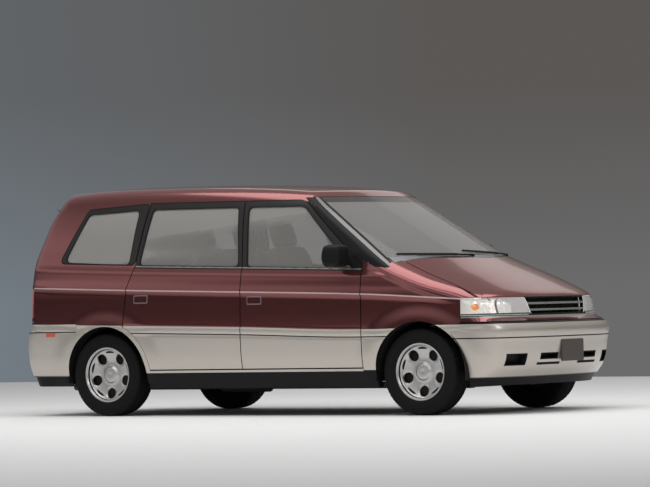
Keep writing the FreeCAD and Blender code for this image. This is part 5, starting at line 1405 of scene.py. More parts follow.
@dataclass
class Shellwork:
    """Roof, pillars, quarters, sills and quarter windows."""

    corner_start: float = -1900.0
    corner_guess: float = -2050.0
    corner_foot: float = 700.5
    lamp_front: float = -2040.0
    lamp_low: float = 720.0
    lamp_high: float = 965.0
    lamp_gap: float = 2.0
    lamp_half: float = 745.0
    lamp_bands: tuple[tuple[float, float, int], ...] = ((722.0, 748.0, 2), (748.0, 852.0, 1),
                                                        (852.0, 905.0, 0), (905.0, 963.0, 0))
    gate_edge: Line = through((706, 733.5), (1107, 733.5), (1626, 583.5))
    roof_guess: Pair = (-2050.0, 600.0)
    roof_foot: Line = through((583, 1626.2), (600, 1569.5), (900, 1569.5))
    roof_head: float = 1597.0
    gutter_reach: Pair = (-1594.0, 426.0)
    gutter_seal: Pair = (-12.0, 13.0)
    gutter_top: float = 1566.0
    quarter_ends: Pair = (-1603.5, -1156.5)
    quarter_lip: Pair = (338.0, 672.0)
    seal_rounds: tuple[float, float, float] = (1.0, 46.0, 40.0)
    seal_width: float = 9.0
    window_rim: float = 6.0
    window_round: float = 40.0
    sill_split: float = 322.0
    sill_top: float = 339.0
    sill_front: float = 990.0
    stripe_lift: float = 0.6
    pillar_heights: Pair = (1070.0, 1594.0)
    pillar_door: Line = through((1070, 1012.0), (1084.7, 993.6), (1562, 433.3), (1594, 395.0))
    pillar_guess: float = 700.0
    pillar_lap: float = 3.5
    post_sides: Pair = (-128.0, -24.0)
    post_heights: Pair = (345.0, 1600.0)
    post_depth: float = 42.0

    def around(self, z: Array, start: float, half: Line, side_rows: int = 8, end_rows: int = 12) -> Array:
        """Rows round the rear corner: along the side from `start`, then across the tail to the half width."""
        corner = corner_at(z, False, self.corner_guess)
        ends = corner[1] + (half(z) - corner[1]) * even(end_rows)[1:, None]
        return wrapped(z, start, corner, ends, side_rows, False)

    def roof_point(self, x: Array, share: Array) -> Array:
        """Point of the roof's section at x: share 0 at the gutter and 1 at the middle."""
        low = FORM.run_at_height(x, SEAMS.gutter(x), False)
        high = FORM.run_at_half(x, np.zeros_like(x), False)
        return FORM.skin(x, low + (high - low) * share, False)

    def roof_end(self, share: Array, front: bool, steps: int = 14) -> tuple[Array, Array]:
        """Places and points at which the roof meets the screen or the tail."""
        x = np.full_like(share, self.roof_guess[front])
        for _ in range(steps):
            p = self.roof_point(x, share)
            x = FORM.wind(p[..., 1], p[..., 2]) if front else FORM.rear(p[..., 1], p[..., 2])
        return x, p

    def roof(self) -> Shell:
        """The roof between the gutters, with its front and rear lips."""
        u, t = np.meshgrid(np.sin(np.linspace(-math.pi / 2, math.pi / 2, 81)), even(70))
        share = 1 - np.abs(u)
        (x0, p0), (x1, p1) = self.roof_end(share, False), self.roof_end(share, True)
        main = self.roof_point(x0 + (x1 - x0) * t, share)
        y0, y1 = p0[0, :, 1], p1[0, :, 1]
        z = stretch(self.roof_foot(y0), p0[0, :, 2], 7)[:-1]
        tail = stacked(FORM.rear(y0, z), y0, z)
        z = stretch(p1[0, :, 2], np.minimum(self.roof_head, p1[0, :, 2]), 5)[1:]
        head = stacked(FORM.wind(y1, z), y1, z)
        settled = FORM.settle(np.concatenate([tail, main, head]), False)
        settled[..., 1] *= np.where(u[0] < 0, -1, 1)[None, :]
        return Shell().grid(settled, Tone.MAROON, Way.TOP)

    def seal(self) -> Shell:
        """Black seal along the gutter, over the doors."""
        x, t = span(*self.gutter_reach, 90, 3)
        low, tall = self.gutter_seal
        return Shell().grid(inset(on_side(x, SEAMS.gutter(x) + low + tall * t), 2.0), Tone.BLACK, Way.SIDE)

    def quarter(self) -> Shell:
        """Quarter panel with its window frame, from the rear door to the tail."""
        shell = Shell()
        rear, front = self.quarter_ends
        wheel, arch = FORM.rear_wheel, FORM.arch
        inner = circle_end(wheel, arch, 1)
        lip = strip(lambda z: np.maximum(inner(z), front), circle_end(wheel, arch + SEAMS.arch_gap, 1),
                    *map(level, self.quarter_lip), 6, 24)
        shell.grid(lip, Tone.SILVER, Way.SIDE)
        shell.grid(strip(level(rear), level(front), circle_top(wheel, arch), FORM.tone, 48, 6), Tone.SILVER,
                   Way.SIDE)
        start = level(self.corner_start)
        bands = maroon_bands(12) + [(LEDGE, TRIM_TOP, 5, Tone.MAROON)]
        banded(shell, start, shifted(SEAMS.rear, -SEAMS.gap), bands, 50)
        seal_rear = SEAMS.by_height(SEAMS.quarter_seal[2:])
        shell.grid(strip(start, seal_rear, TRIM_TOP, level(self.gutter_top), 14, 24), Tone.MAROON, Way.SIDE)
        sharp, soft, inside = self.seal_rounds
        edges = [outline(SEAMS.quarter_seal, sharp), outline(SEAMS.quarter_seal, soft),
                 outline(grown(SEAMS.quarter_seal, -self.seal_width), inside),
                 outline(grown(SEAMS.quarter_window, self.window_rim), SEAMS.quarter_round),
                 outline(SEAMS.quarter_window, self.window_round)]
        for outer, inner_edge, rows, tone in zip(edges, edges[1:], (2, 2, 4, 2),
                                                 (Tone.MAROON, Tone.BLACK, Tone.FRAME, Tone.BLACK)):
            ring(shell, inner_edge, outer, rows, tone)
        return shell

    def corner(self) -> Shell:
        """Rear corner: above, below and beside the tail lamp, with the stripe along the crease."""
        shell = Shell()
        low, high = self.lamp_low - self.lamp_gap, self.lamp_high + self.lamp_gap
        for foot, top, rows in ((high, self.gutter_top, 46), (self.corner_foot, low, 4)):
            grid = self.around(np.linspace(foot, top, rows), self.corner_start, self.gate_edge)
            shell.grid(grid, Tone.MAROON, Way.REAR_CORNER)
        x, t = span(self.corner_start, self.lamp_front + 3, 12, 18)
        shell.grid(on_side(x, low + (high - low) * t), Tone.MAROON, Way.SIDE)
        x, t = span(self.corner_start, self.lamp_front + 4, 10, 3)
        line = on_side(x, FORM.crease(x) + SEAMS.stripe_half
                       * (2 * t - 1)) + np.array([0, self.stripe_lift, 0])
        return shell.grid(line, Tone.STRIPE, Way.SIDE)

    def lamp(self) -> Shell:
        """Tail lamp lens: orange over red over a black foot."""
        shell = Shell()
        for low, high, tone in self.lamp_bands:
            grid = self.around(np.linspace(low, high, 8), self.lamp_front, level(self.lamp_half), 5, 7)
            shell.grid(grid, tone, Way.REAR_CORNER)
        return shell

    def sill(self) -> Shell:
        """Black sill between the wheel arches, with a silver line along its top."""
        left = upright_below(circle_end(FORM.rear_wheel, FORM.arch, 1), FORM.rear_wheel[1])
        right = upright_below(circle_end(FORM.front_wheel, FORM.arch, -1), FORM.front_wheel[1])
        split = level(self.sill_split)
        shell = Shell().grid(strip(left, right, level(SEAMS.sill_foot), split, 80, 8), Tone.BLACK, Way.SIDE)
        line = strip(left, lambda z: np.minimum(right(z), self.sill_front), split, level(self.sill_top), 80,
                     4)
        return shell.grid(line, Tone.SILVER, Way.SIDE)

    def pillar(self) -> Shell:
        """Windscreen pillar: from the door's slanted edge round to the screen, with a light line."""
        z = np.linspace(*self.pillar_heights, 60)
        x = np.full_like(z, self.pillar_guess)
        for _ in range(16):
            y = FORM.side(x, z, False)
            x = (x + FORM.wind(y, z)) / 2
        xs = self.pillar_door(z) + (x - self.pillar_door(z)) * even(7)[:, None]
        ys = y + (FORM.screen_half(z) + self.pillar_lap - y) * even(9)[1:, None]
        side = stacked(xs, FORM.side(xs, np.broadcast_to(z, xs.shape), False), z)
        rows = FORM.settle(np.concatenate([side, stacked(FORM.wind(ys, z), ys, z)]), False)
        shell = Shell().grid(rows[:10], Tone.BLACK, Way.SIDE)
        shell.grid(rows[9:13], Tone.PEARL, Way.FRONT_CORNER)
        return shell.grid(rows[12:], Tone.BLACK, Way.SCREEN)

    def posts(self) -> Shell:
        """Middle pillar behind the doors' cut."""
        x, z = np.meshgrid(np.linspace(*self.post_sides, 6), np.linspace(*self.post_heights, 40))
        return Shell().grid(inset(on_side(x, z), self.post_depth), Tone.FRAME, Way.SIDE)

    def build(self) -> None:
        """Builds the body shell's pieces on the car."""
        shell, both = ["body_shell"], tuple(Side)
        piece("roof", self.roof(), BODY_FINISHES, "car", shell, depth=24.0, inner=Tone.LINING,
              rim=Tone.BLACK)
        for side in both:
            piece(f"quarter_{side.word}", self.quarter(), BODY_FINISHES, "car", shell,
                  (side,), 30.0, Tone.LINING, Tone.BLACK, Way.INNER)
        piece("rear_corners", self.corner(), BODY_FINISHES, "car", shell, both, 3.0,
              Tone.BLACK, Tone.BLACK)
        piece("gutter_seals", self.seal(), BODY_FINISHES, "car", shell, both, 6.0, Tone.BLACK,
              Tone.BLACK)
        piece("sills", self.sill(), BODY_FINISHES, "car", shell, both, 60.0, Tone.BLACK,
              Tone.BLACK, Way.INNER)
        piece("windscreen_pillars", self.pillar(), BODY_FINISHES, "car", shell, both, 8.0,
              Tone.LINING, Tone.BLACK)
        piece("middle_pillars", self.posts(), BODY_FINISHES, "car", shell, both, 30.0,
              Tone.LINING, Tone.BLACK, Way.INNER)
        piece("tail_lamp_lenses", self.lamp(), [STOCK.orange, STOCK.red, STOCK.black], "car", ["tail_lamps"],
              both, 20.0, 2, 2)
        piece("quarter_panes", side_pane(SEAMS.quarter_window, SEAMS.quarter_round), [STOCK.glass], "car",
              ["quarter_windows"], both, 4.0)


@dataclass
class NoseWork:
    """Wings, bonnet, scuttle, screen, wipers, lamps, grille and front bumper."""

    door: float = 993.5
    wing_foot: float = 329.0
    wing_end: float = 1990.0
    wing_edge: Line = through((993, 730), (1268, 737), (2232, 807))
    lamp_rear: float = 1806.0
    lamp_low: float = 702.0
    lamp_high: float = 830.0
    lamp_gap: float = 2.0
    lamp_core: tuple[float, float, float] = (1500.0, 560.0, 760.0)
    lamp_inner: Line = line_between((702.0, 361.0), (828.0, 408.0))
    divider: int = 17
    bulb: tuple[float, float, float] = (26.0, 40.0, 24.0)
    bulb_share: float = 0.45
    corner_guess: float = 1900.0
    hood_guess: Pair = (1300.0, 800.0)
    hood_low: float = 836.0
    hood_lip: float = 3.0
    hood_rear: Line = bowed(1527.0, 392.0, 1.85)
    hood_half: Line = line_between((1268.0, 730.0), (2232.0, 800.0))
    screen_heights: Pair = (1062.0, 1594.0)
    band_heights: Pair = (1556.0, 1594.0)
    screen_sink: float = 4.0
    band_sink: float = 9.0
    scuttle_half: float = 729.0
    scuttle_guess: float = 1430.0
    scuttle_lap: float = 30.0
    scuttle_gap: float = 7.0
    scuttle_dip: float = 6.0
    rib: Pair = (24.0, 1.5)
    apron: Pair = (1075.0, 1140.0)
    wipers: tuple[tuple[Pair, Pair], ...] = (((430.0, 1146.0), (-60.0, 1168.0)),
                                             ((-150.0, 1146.0), (-600.0, 1154.0)))
    arm_radius: Pair = (7.0, 4.0)
    arm_lift: Pair = (16.0, 10.0)
    blade: tuple[float, float, float] = (0.30, 1.25, 6.0)
    blade_rise: float = 5.0
    knob: tuple[float, float, float] = (13.0, 4.0, 24.0)
    bumper_top: float = 645.0
    bumper_low: float = 262.0
    bumper_lip: float = 268.0
    bumper_groove: Pair = (540.0, 549.0)
    bumper_centre: float = 740.0
    dam_low: float = 205.0
    dam_sink: tuple[float, float, float] = (10.0, 6.0, 0.0)
    shelf: tuple[float, float] = (46.0, 0.985)
    openings: tuple[tuple[float, float, float, float], ...] = ((168.0, 384.0, 382.0, 430.0),
                                                               (124.0, 404.0, 344.0, 362.0),
                                                               (520.0, 700.0, 344.0, 430.0))
    opening_depth: float = 60.0
    grille_heights: Pair = (700.0, 832.0)
    grille_half: float = 405.0
    grille_depth: float = 50.0
    bar_half: float = 398.0
    bar_round: float = 6.0
    bar_depth: float = 24.0
    bars: tuple[tuple[float, float, Tone, float], ...] = (
        (729.0, 745.0, Tone.SILL, 12.0), (775.0, 792.0, Tone.SILL, 14.0), (700.0, 712.0, Tone.BLACK, 6.0),
        (822.0, 834.0, Tone.BLACK, 12.0))
    uprights: Pair = (340.0, 4.0)
    upright_heights: Pair = (706.0, 828.0)
    upright_sink: float = 34.0
    strip_start: float = 1640.0
    strip_lap: float = 6.0
    strip_sink: tuple[float, float, float] = (9.0, 6.0, 0.0)
    strip_levels: tuple[float, float, float] = (663.0, 689.0, 699.0)
    plates: Pair = (2224.0, -2219.0)
    plate_sides: Pair = (-150.0, 150.0)
    plate_heights: Pair = (364.0, 520.0)

    def edge_run(self, x: Array) -> Array:
        """Distance up the section at which the wing ends: at the bonnet or the scuttle."""
        return FORM.run_at_half(x, self.wing_edge(x), True)

    @staticmethod
    def shoulder(shell: Shell, x: Array, low: Array, high: Array, share: Array) -> None:
        """Adds maroon between two distances up the section."""
        run = low + (high - low) * share
        shell.grid(FORM.settle(FORM.skin(x, run, True), True), Tone.MAROON, Way.SHOULDER)

    def wing(self) -> Shell:
        """Wing from the door to the lamp, up over its shoulder to the bonnet."""
        shell = Shell()
        wheel, arch = FORM.front_wheel, FORM.arch
        start, stop = level(self.door), self.lamp_rear - self.lamp_gap
        rear_part = upright_below(circle_end(wheel, arch, -1), wheel[1])
        banded(shell, start, rear_part, silver_bands(self.wing_foot), 22, True)
        over = circle_top(wheel, arch)
        above = strip(start, level(stop), lambda x: np.maximum(FORM.tone(x), over(x)), STRIPE_LOW, 90, 14,
                      True)
        shell.grid(above, Tone.MAROON, Way.SIDE)
        x, t = span(self.door, stop, 90, 3)
        stripe = FORM.crease(x) + SEAMS.stripe_half * (2 * t - 1)
        shell.grid(on_side(x, stripe, True), Tone.STRIPE, Way.SIDE)
        x, t = span(self.door, stop, 90, 34)
        self.shoulder(shell, x, STRIPE_HIGH(x), self.edge_run(x), t)
        x, t = span(stop, self.wing_end, 30, 12)
        low = FORM.run_at_height(x, np.full_like(x, self.hood_low - self.lamp_gap), True)
        self.shoulder(shell, x, low, np.maximum(self.edge_run(x), low + 1), t)
        return shell

    def bonnet(self) -> Shell:
        """Bonnet from its bowed rear edge over the nose to the lamps."""
        s, t = span(-1, 1, 81, 64)
        x = self.hood_guess[0] + self.hood_guess[1] * t
        for _ in range(12):
            y = s * self.hood_half(x)
            rear = self.hood_rear(y)
            x = rear + (FORM.front(y, np.full_like(y, self.hood_low)) - rear) * t
        y = s * self.hood_half(x)
        z = FORM.hood(x, y)
        z[-1] = np.maximum(z[-1], self.hood_low + self.hood_lip)
        lip = stretch(z[-1], np.full_like(z[-1], self.hood_low), 4)[1:]
        points = np.concatenate([stacked(x, y, z), stacked(FORM.front(y[-1], lip), y[-1], lip)])
        return Shell().grid(both_halves(points, True), Tone.MAROON, Way.TOP)

    def screen(self) -> Shell:
        """Windscreen pane."""
        s, t = span(-1, 1, 61, 40)
        z = self.screen_heights[0] + (self.screen_heights[1] - self.screen_heights[0]) * t
        y = s * (FORM.screen_half(z) + 1)
        return Shell().grid(stacked(FORM.wind(y, z) - self.screen_sink, y, z), 0, Way.SCREEN)

    def screen_band(self) -> Shell:
        """Dark band printed along the screen's upper edge."""
        s, t = span(-1, 1, 61, 4)
        z = self.band_heights[0] + (self.band_heights[1] - self.band_heights[0]) * t
        y = s * (FORM.screen_half(z) + 1)
        return Shell().grid(stacked(FORM.wind(y, z) - self.band_sink, y, z), Tone.BLACK, Way.SCREEN)

    def scuttle(self) -> Shell:
        """Scuttle between the screen and the bonnet, with ribs over its slots, and its apron."""
        s, t = span(-1, 1, 81, 16)
        y = s * self.scuttle_half
        x0 = np.full_like(y, self.scuttle_guess)
        for _ in range(16):
            x0 = (x0 + FORM.wind(y, FORM.hood(x0, y))) / 2
        rear = x0 - self.scuttle_lap
        x = rear + (self.hood_rear(y) - self.scuttle_gap - rear) * t
        z = FORM.hood(x, y) - self.scuttle_dip * np.sin(math.pi * t) * (1 - s ** 8)
        pitch, tall = self.rib
        middle = (np.abs(t - 0.55) < 0.22) * (np.abs(s) < 0.9)
        ribs = tall * np.maximum(np.sin(2 * math.pi * y / pitch), 0) * middle
        shell = Shell().grid(stacked(x, y, z - ribs), Tone.COWL, Way.TOP)
        s, t = span(-1, 1, 81, 6)
        z = self.apron[0] + (self.apron[1] - self.apron[0]) * t
        y = s * (FORM.screen_half(z) - 6)
        return shell.grid(stacked(FORM.wind(y, z) + 4 - 3 * t, y, z), Tone.COWL, Way.SCREEN)

    def wiper(self, foot: Pair, tip: Pair) -> Shell:
        """Wiper: arm, blade and knob lying over the screen's foot."""
        (y0, z0), (y1, z1) = foot, tip
        t = even(24)
        y, z = y0 + (y1 - y0) * t, z0 + (z1 - z0) * t
        arm = stacked(FORM.wind(y, z) + self.arm_lift[0] + self.arm_lift[1] * np.sin(math.pi * t), y, z)
        thick, thin = self.arm_radius
        shell = Shell().grid(capped(tube(arm, thick - (thick - thin) * t)), 0)
        start, end, radius = self.blade
        u = np.linspace(start, end, 24)
        y, z = y0 + (y1 - y0) * u, z0 + (z1 - z0) * u + self.blade_rise
        shell.grid(capped(tube(stacked(FORM.wind(y, z) + radius, y, z), radius, 8)), 0)
        radius, low, high = self.knob
        x = FORM.wind(np.full_like(t, y0), np.full_like(t, z0)) + low + (high - low) * t
        return shell.grid(capped(tube(stacked(x, y0, z0 - 6), radius)), 0)

    def around(self, z: Array, first: Array | float, ends: Optional[Array] = None) -> Array:
        """Rows round the front corner: along the side, then across the nose."""
        corner = corner_at(z, True, self.corner_guess)
        if ends is None:
            across = corner[1] - corner[1] * even(40)[1:, None]
        else:
            first_rows = corner[1] + (ends[0] - corner[1]) * even(9)[1:, None]
            across = np.concatenate([first_rows, np.broadcast_to(ends[1:, None], (len(ends) - 1, len(z)))])
        return wrapped(z, first, corner, across, 8, True)

    def bumper_rows(self, shell: Shell, grid: Array, ends: Array, bottom: float, top: float,
                    tone: Tone) -> None:
        """Adds one level of the bumper, leaving out the openings that it crosses."""
        tail, first = len(grid) - len(ends), 0
        for inner, outer, low, high in sorted(self.openings, key=lambda hole: -hole[1]):
            if low <= bottom and top <= high:
                edge = tail + int(np.argmin(np.abs(ends - outer)))
                shell.grid(grid[first:edge + 1], tone, Way.FRONT_CORNER)
                first = tail + int(np.argmin(np.abs(ends - inner)))
        shell.grid(grid[first:], tone, Way.FRONT_CORNER)

    def bumper(self) -> Shell:
        """Front bumper with its groove, openings and air dam."""
        shell = Shell()
        start = upright_below(circle_end(FORM.front_wheel, FORM.arch, 1), FORM.front_wheel[1])
        marks = sorted({half for hole in self.openings for half in hole[:2]}, reverse=True)
        runs = zip([self.bumper_centre, *marks], [*marks, 0.0])
        ends = np.concatenate([np.linspace(a, b, 8)[:-1] for a, b in runs] + [[0.0]])
        levels = sorted({self.bumper_low, self.bumper_lip, *self.bumper_groove, self.bumper_top}
                        | {z for hole in self.openings for z in hole[2:]})
        tones = {self.bumper_lip: Tone.LINE, self.bumper_groove[1]: Tone.BLACK}
        for bottom, top in zip(levels, levels[1:]):
            z = np.linspace(bottom, top, 3 + int((top - bottom) / 12))
            self.bumper_rows(shell, self.around(z, start(z), ends), ends, bottom, top,
                             tones.get(top, Tone.SILVER))
        for opening in self.openings:
            self.pocket(shell, *opening)
        z = np.linspace(self.dam_low, self.bumper_low, 6)
        shell.grid(self.around(z, start(z)) - np.array(self.dam_sink), Tone.BLACK, Way.FRONT_CORNER)
        z = np.array([self.bumper_top])
        edge = self.around(z, start(z))[:, 0]
        deep, narrow = self.shelf
        inner = edge * np.array([1, narrow, 1]) - np.array([deep, 0, 0])
        return shell.grid(np.stack([edge, inner]), Tone.SILVER, Way.TOP)

    def pocket(self, shell: Shell, inner: float, outer: float, low: float, high: float) -> None:
        """Adds the black hollow behind an opening: a floor and four walls."""
        y, z = np.linspace(outer, inner, 9)[:, None], np.linspace(low, high, 5)
        slot = FORM.settle(stacked(FORM.front(y, z), y, z), True)
        deep = np.array([self.opening_depth, 0, 0])
        shell.grid(slot - deep, Tone.BLACK, Way.FRONT)
        loop = np.concatenate([slot[:, 0], slot[-1, 1:], slot[-2::-1, -1], slot[0, -2::-1]])
        shell.grid(np.stack([loop, loop - deep]), Tone.BLACK)

    @staticmethod
    def bar(shell: Shell, low: float, high: float, half: float, sink: float, tone: Tone,
            bulge: float = 0.0) -> None:
        """Adds a bar across the nose between two heights, moved inwards by `sink` and rounded by `bulge`."""
        y, t = span(-half, half, 41, 7)
        z = low + (high - low) * t
        x = FORM.front(y, z) - sink + bulge * np.sqrt(np.maximum(1 - (2 * t - 1) ** 2, 0))
        shell.grid(stacked(x, y, z), tone, Way.FRONT)

    def grille(self) -> Shell:
        """Grille: black hollow, light bars, dark frame bars and thin uprights."""
        shell = Shell()
        self.bar(shell, *self.grille_heights, self.grille_half, self.grille_depth, Tone.BLACK)
        for low, high, tone, sink in self.bars:
            self.bar(shell, low, high, self.bar_half, sink, tone, self.bar_round)
            for way, z in ((Way.TOP, high), (Way.UNDER, low)):
                y, t = span(-self.bar_half, self.bar_half, 41, 3)
                x = FORM.front(y, np.full_like(y, z)) - sink - self.bar_depth * t
                shell.grid(stacked(x, y, z), Tone.BLACK, way)
        reach, radius = self.uprights
        z = np.linspace(*self.upright_heights, 9)
        for y in np.linspace(-reach, reach, 9):
            x = FORM.front(y, z) - self.upright_sink
            shell.grid(tube(stacked(x, y, z), radius, 6), Tone.BLACK)
        return shell

    def nose_panel(self) -> Shell:
        """Strip under the lamps and grille: maroon over a black gap, with a light line."""
        arch = circle_end(FORM.front_wheel, FORM.arch, 1)
        low, middle, high = self.strip_levels
        z = np.linspace(self.bumper_top - self.strip_lap, low, 4)
        gap = self.around(z, np.maximum(arch(z), self.strip_start)) - np.array(self.strip_sink)
        shell = Shell().grid(gap, Tone.BLACK, Way.FRONT_CORNER)
        for foot, top, tone in ((low, middle, Tone.MAROON), (middle, high, Tone.SILL)):
            shell.grid(self.around(np.linspace(foot, top, 4), self.lamp_rear), tone, Way.FRONT_CORNER)
        return shell

    def lamp_grid(self, low: float, high: float, deep: float) -> Array:
        """Rows over the headlamp's face, moved towards its core by `deep`."""
        z = np.linspace(low, high, 9)
        corner = corner_at(z, True, self.corner_guess)
        ends = corner[1] + (self.lamp_inner(z) - corner[1]) * even(26)[1:, None]
        grid = wrapped(z, self.lamp_rear + self.lamp_gap, corner, ends, 9, True)
        way = np.array(self.lamp_core) - grid
        return grid + way / np.linalg.norm(way, axis=-1)[..., None] * deep

    def lamps(self) -> tuple[Shell, Shell, Shell]:
        """Lens, reflector with its divider, and amber bulb of a headlamp."""
        low, high = self.lamp_low + 3, self.lamp_high
        lens = Shell().grid(self.lamp_grid(low, high, 2.0), 0, Way.FRONT_CORNER)
        back = self.lamp_grid(self.lamp_low + 5, self.lamp_high - 2, 58.0)
        rows, columns = np.indices(back.shape[:2])
        ripple = 9.0 * np.abs(np.sin(rows * 1.1)) + 3.0 * np.abs(np.sin(columns * 1.3))
        back = back + np.array([1.0, 0.3, 0.0]) * ripple[..., None]
        inner = Shell().grid(back, 0, Way.FRONT_CORNER)
        front = self.lamp_grid(low, high, 3.0)
        for edge in (np.s_[:, 0], np.s_[:, -1], np.s_[0], np.s_[-1]):
            inner.grid(np.stack([front[edge], back[edge]]), 1)
        divide = self.divider
        inner.grid(np.stack([front[divide], back[divide]]), 2)
        inner.grid(front[divide - 1:divide + 1] - np.array([2.0, 0, 0]), 2, Way.FRONT)
        inner.grid(front[:, :2] - np.array([0.0, 0, 1.0]), 3, Way.FRONT_CORNER)
        angle, t = np.meshgrid(np.linspace(0, 2 * math.pi, 25), np.linspace(-math.pi / 2, math.pi / 2, 13))
        centre = back[9, 4] * (1 - self.bulb_share) + front[9, 4] * self.bulb_share
        ball = stacked(np.cos(t) * np.cos(angle), np.sin(t), np.cos(t) * np.sin(angle)) * np.array(self.bulb)
        return lens, inner, Shell().grid(ball + centre, 0)

    def plate(self, x: float, way: Way) -> Shell:
        """Blank number plate."""
        rows = filled(outline(rectangle(self.plate_sides, self.plate_heights), 10.0), 4)
        return Shell().grid(stacked(x, rows[..., 0], rows[..., 1]), 0, way)

    def build(self) -> None:
        """Builds the nose's pieces."""
        both, black = tuple(Side), Tone.BLACK
        piece("wing_panels", self.wing(), BODY_FINISHES, "car", ["wings"], both, 12.0, black,
              black)
        piece("bonnet_panel", self.bonnet(), BODY_FINISHES, "bonnet", ["bonnet"], depth=20.0,
              inner=black, rim=Tone.MAROON)
        piece("scuttle_panel", self.scuttle(), BODY_FINISHES, "car", ["cowl"], depth=12.0,
              inner=black, rim=black)
        piece("windscreen_pane", self.screen(), [STOCK.screen], "car", ["windshield"], depth=5.0)
        piece("windscreen_band", self.screen_band(), BODY_FINISHES, "car", depth=1.0, inner=black, rim=black)
        for k, (foot, tip) in enumerate(self.wipers):
            piece(f"wiper_{k + 1}", self.wiper(foot, tip), [STOCK.black], "car")
        piece("front_bumper_skin", self.bumper(), BODY_FINISHES, "car", ["front_bumper"],
              both, 8.0, black, black)
        piece("grille_bars", self.grille(), BODY_FINISHES, "car", ["grille"])
        piece("nose_strip", self.nose_panel(), BODY_FINISHES, "car", ["nose_panel"], both,
              4.0, black, black)
        lens, inner, bulb = self.lamps()
        piece("headlamp_lenses", lens, [STOCK.lens], "car", ["headlamps"], both, 3.0)
        piece("headlamp_reflectors", inner, [STOCK.mirror, STOCK.bright, STOCK.cowl, STOCK.black], "car",
              sides=both, depth=2.0)
        piece("turn_bulbs", bulb, [STOCK.amber], "car", sides=both)
        front, rear = self.plates
        piece("front_plate", self.plate(front, Way.FRONT), [STOCK.plate], "car", ["number_plates"],
              depth=12.0)
        piece("rear_plate", self.plate(rear, Way.REAR), [STOCK.plate], "car", depth=3.0)


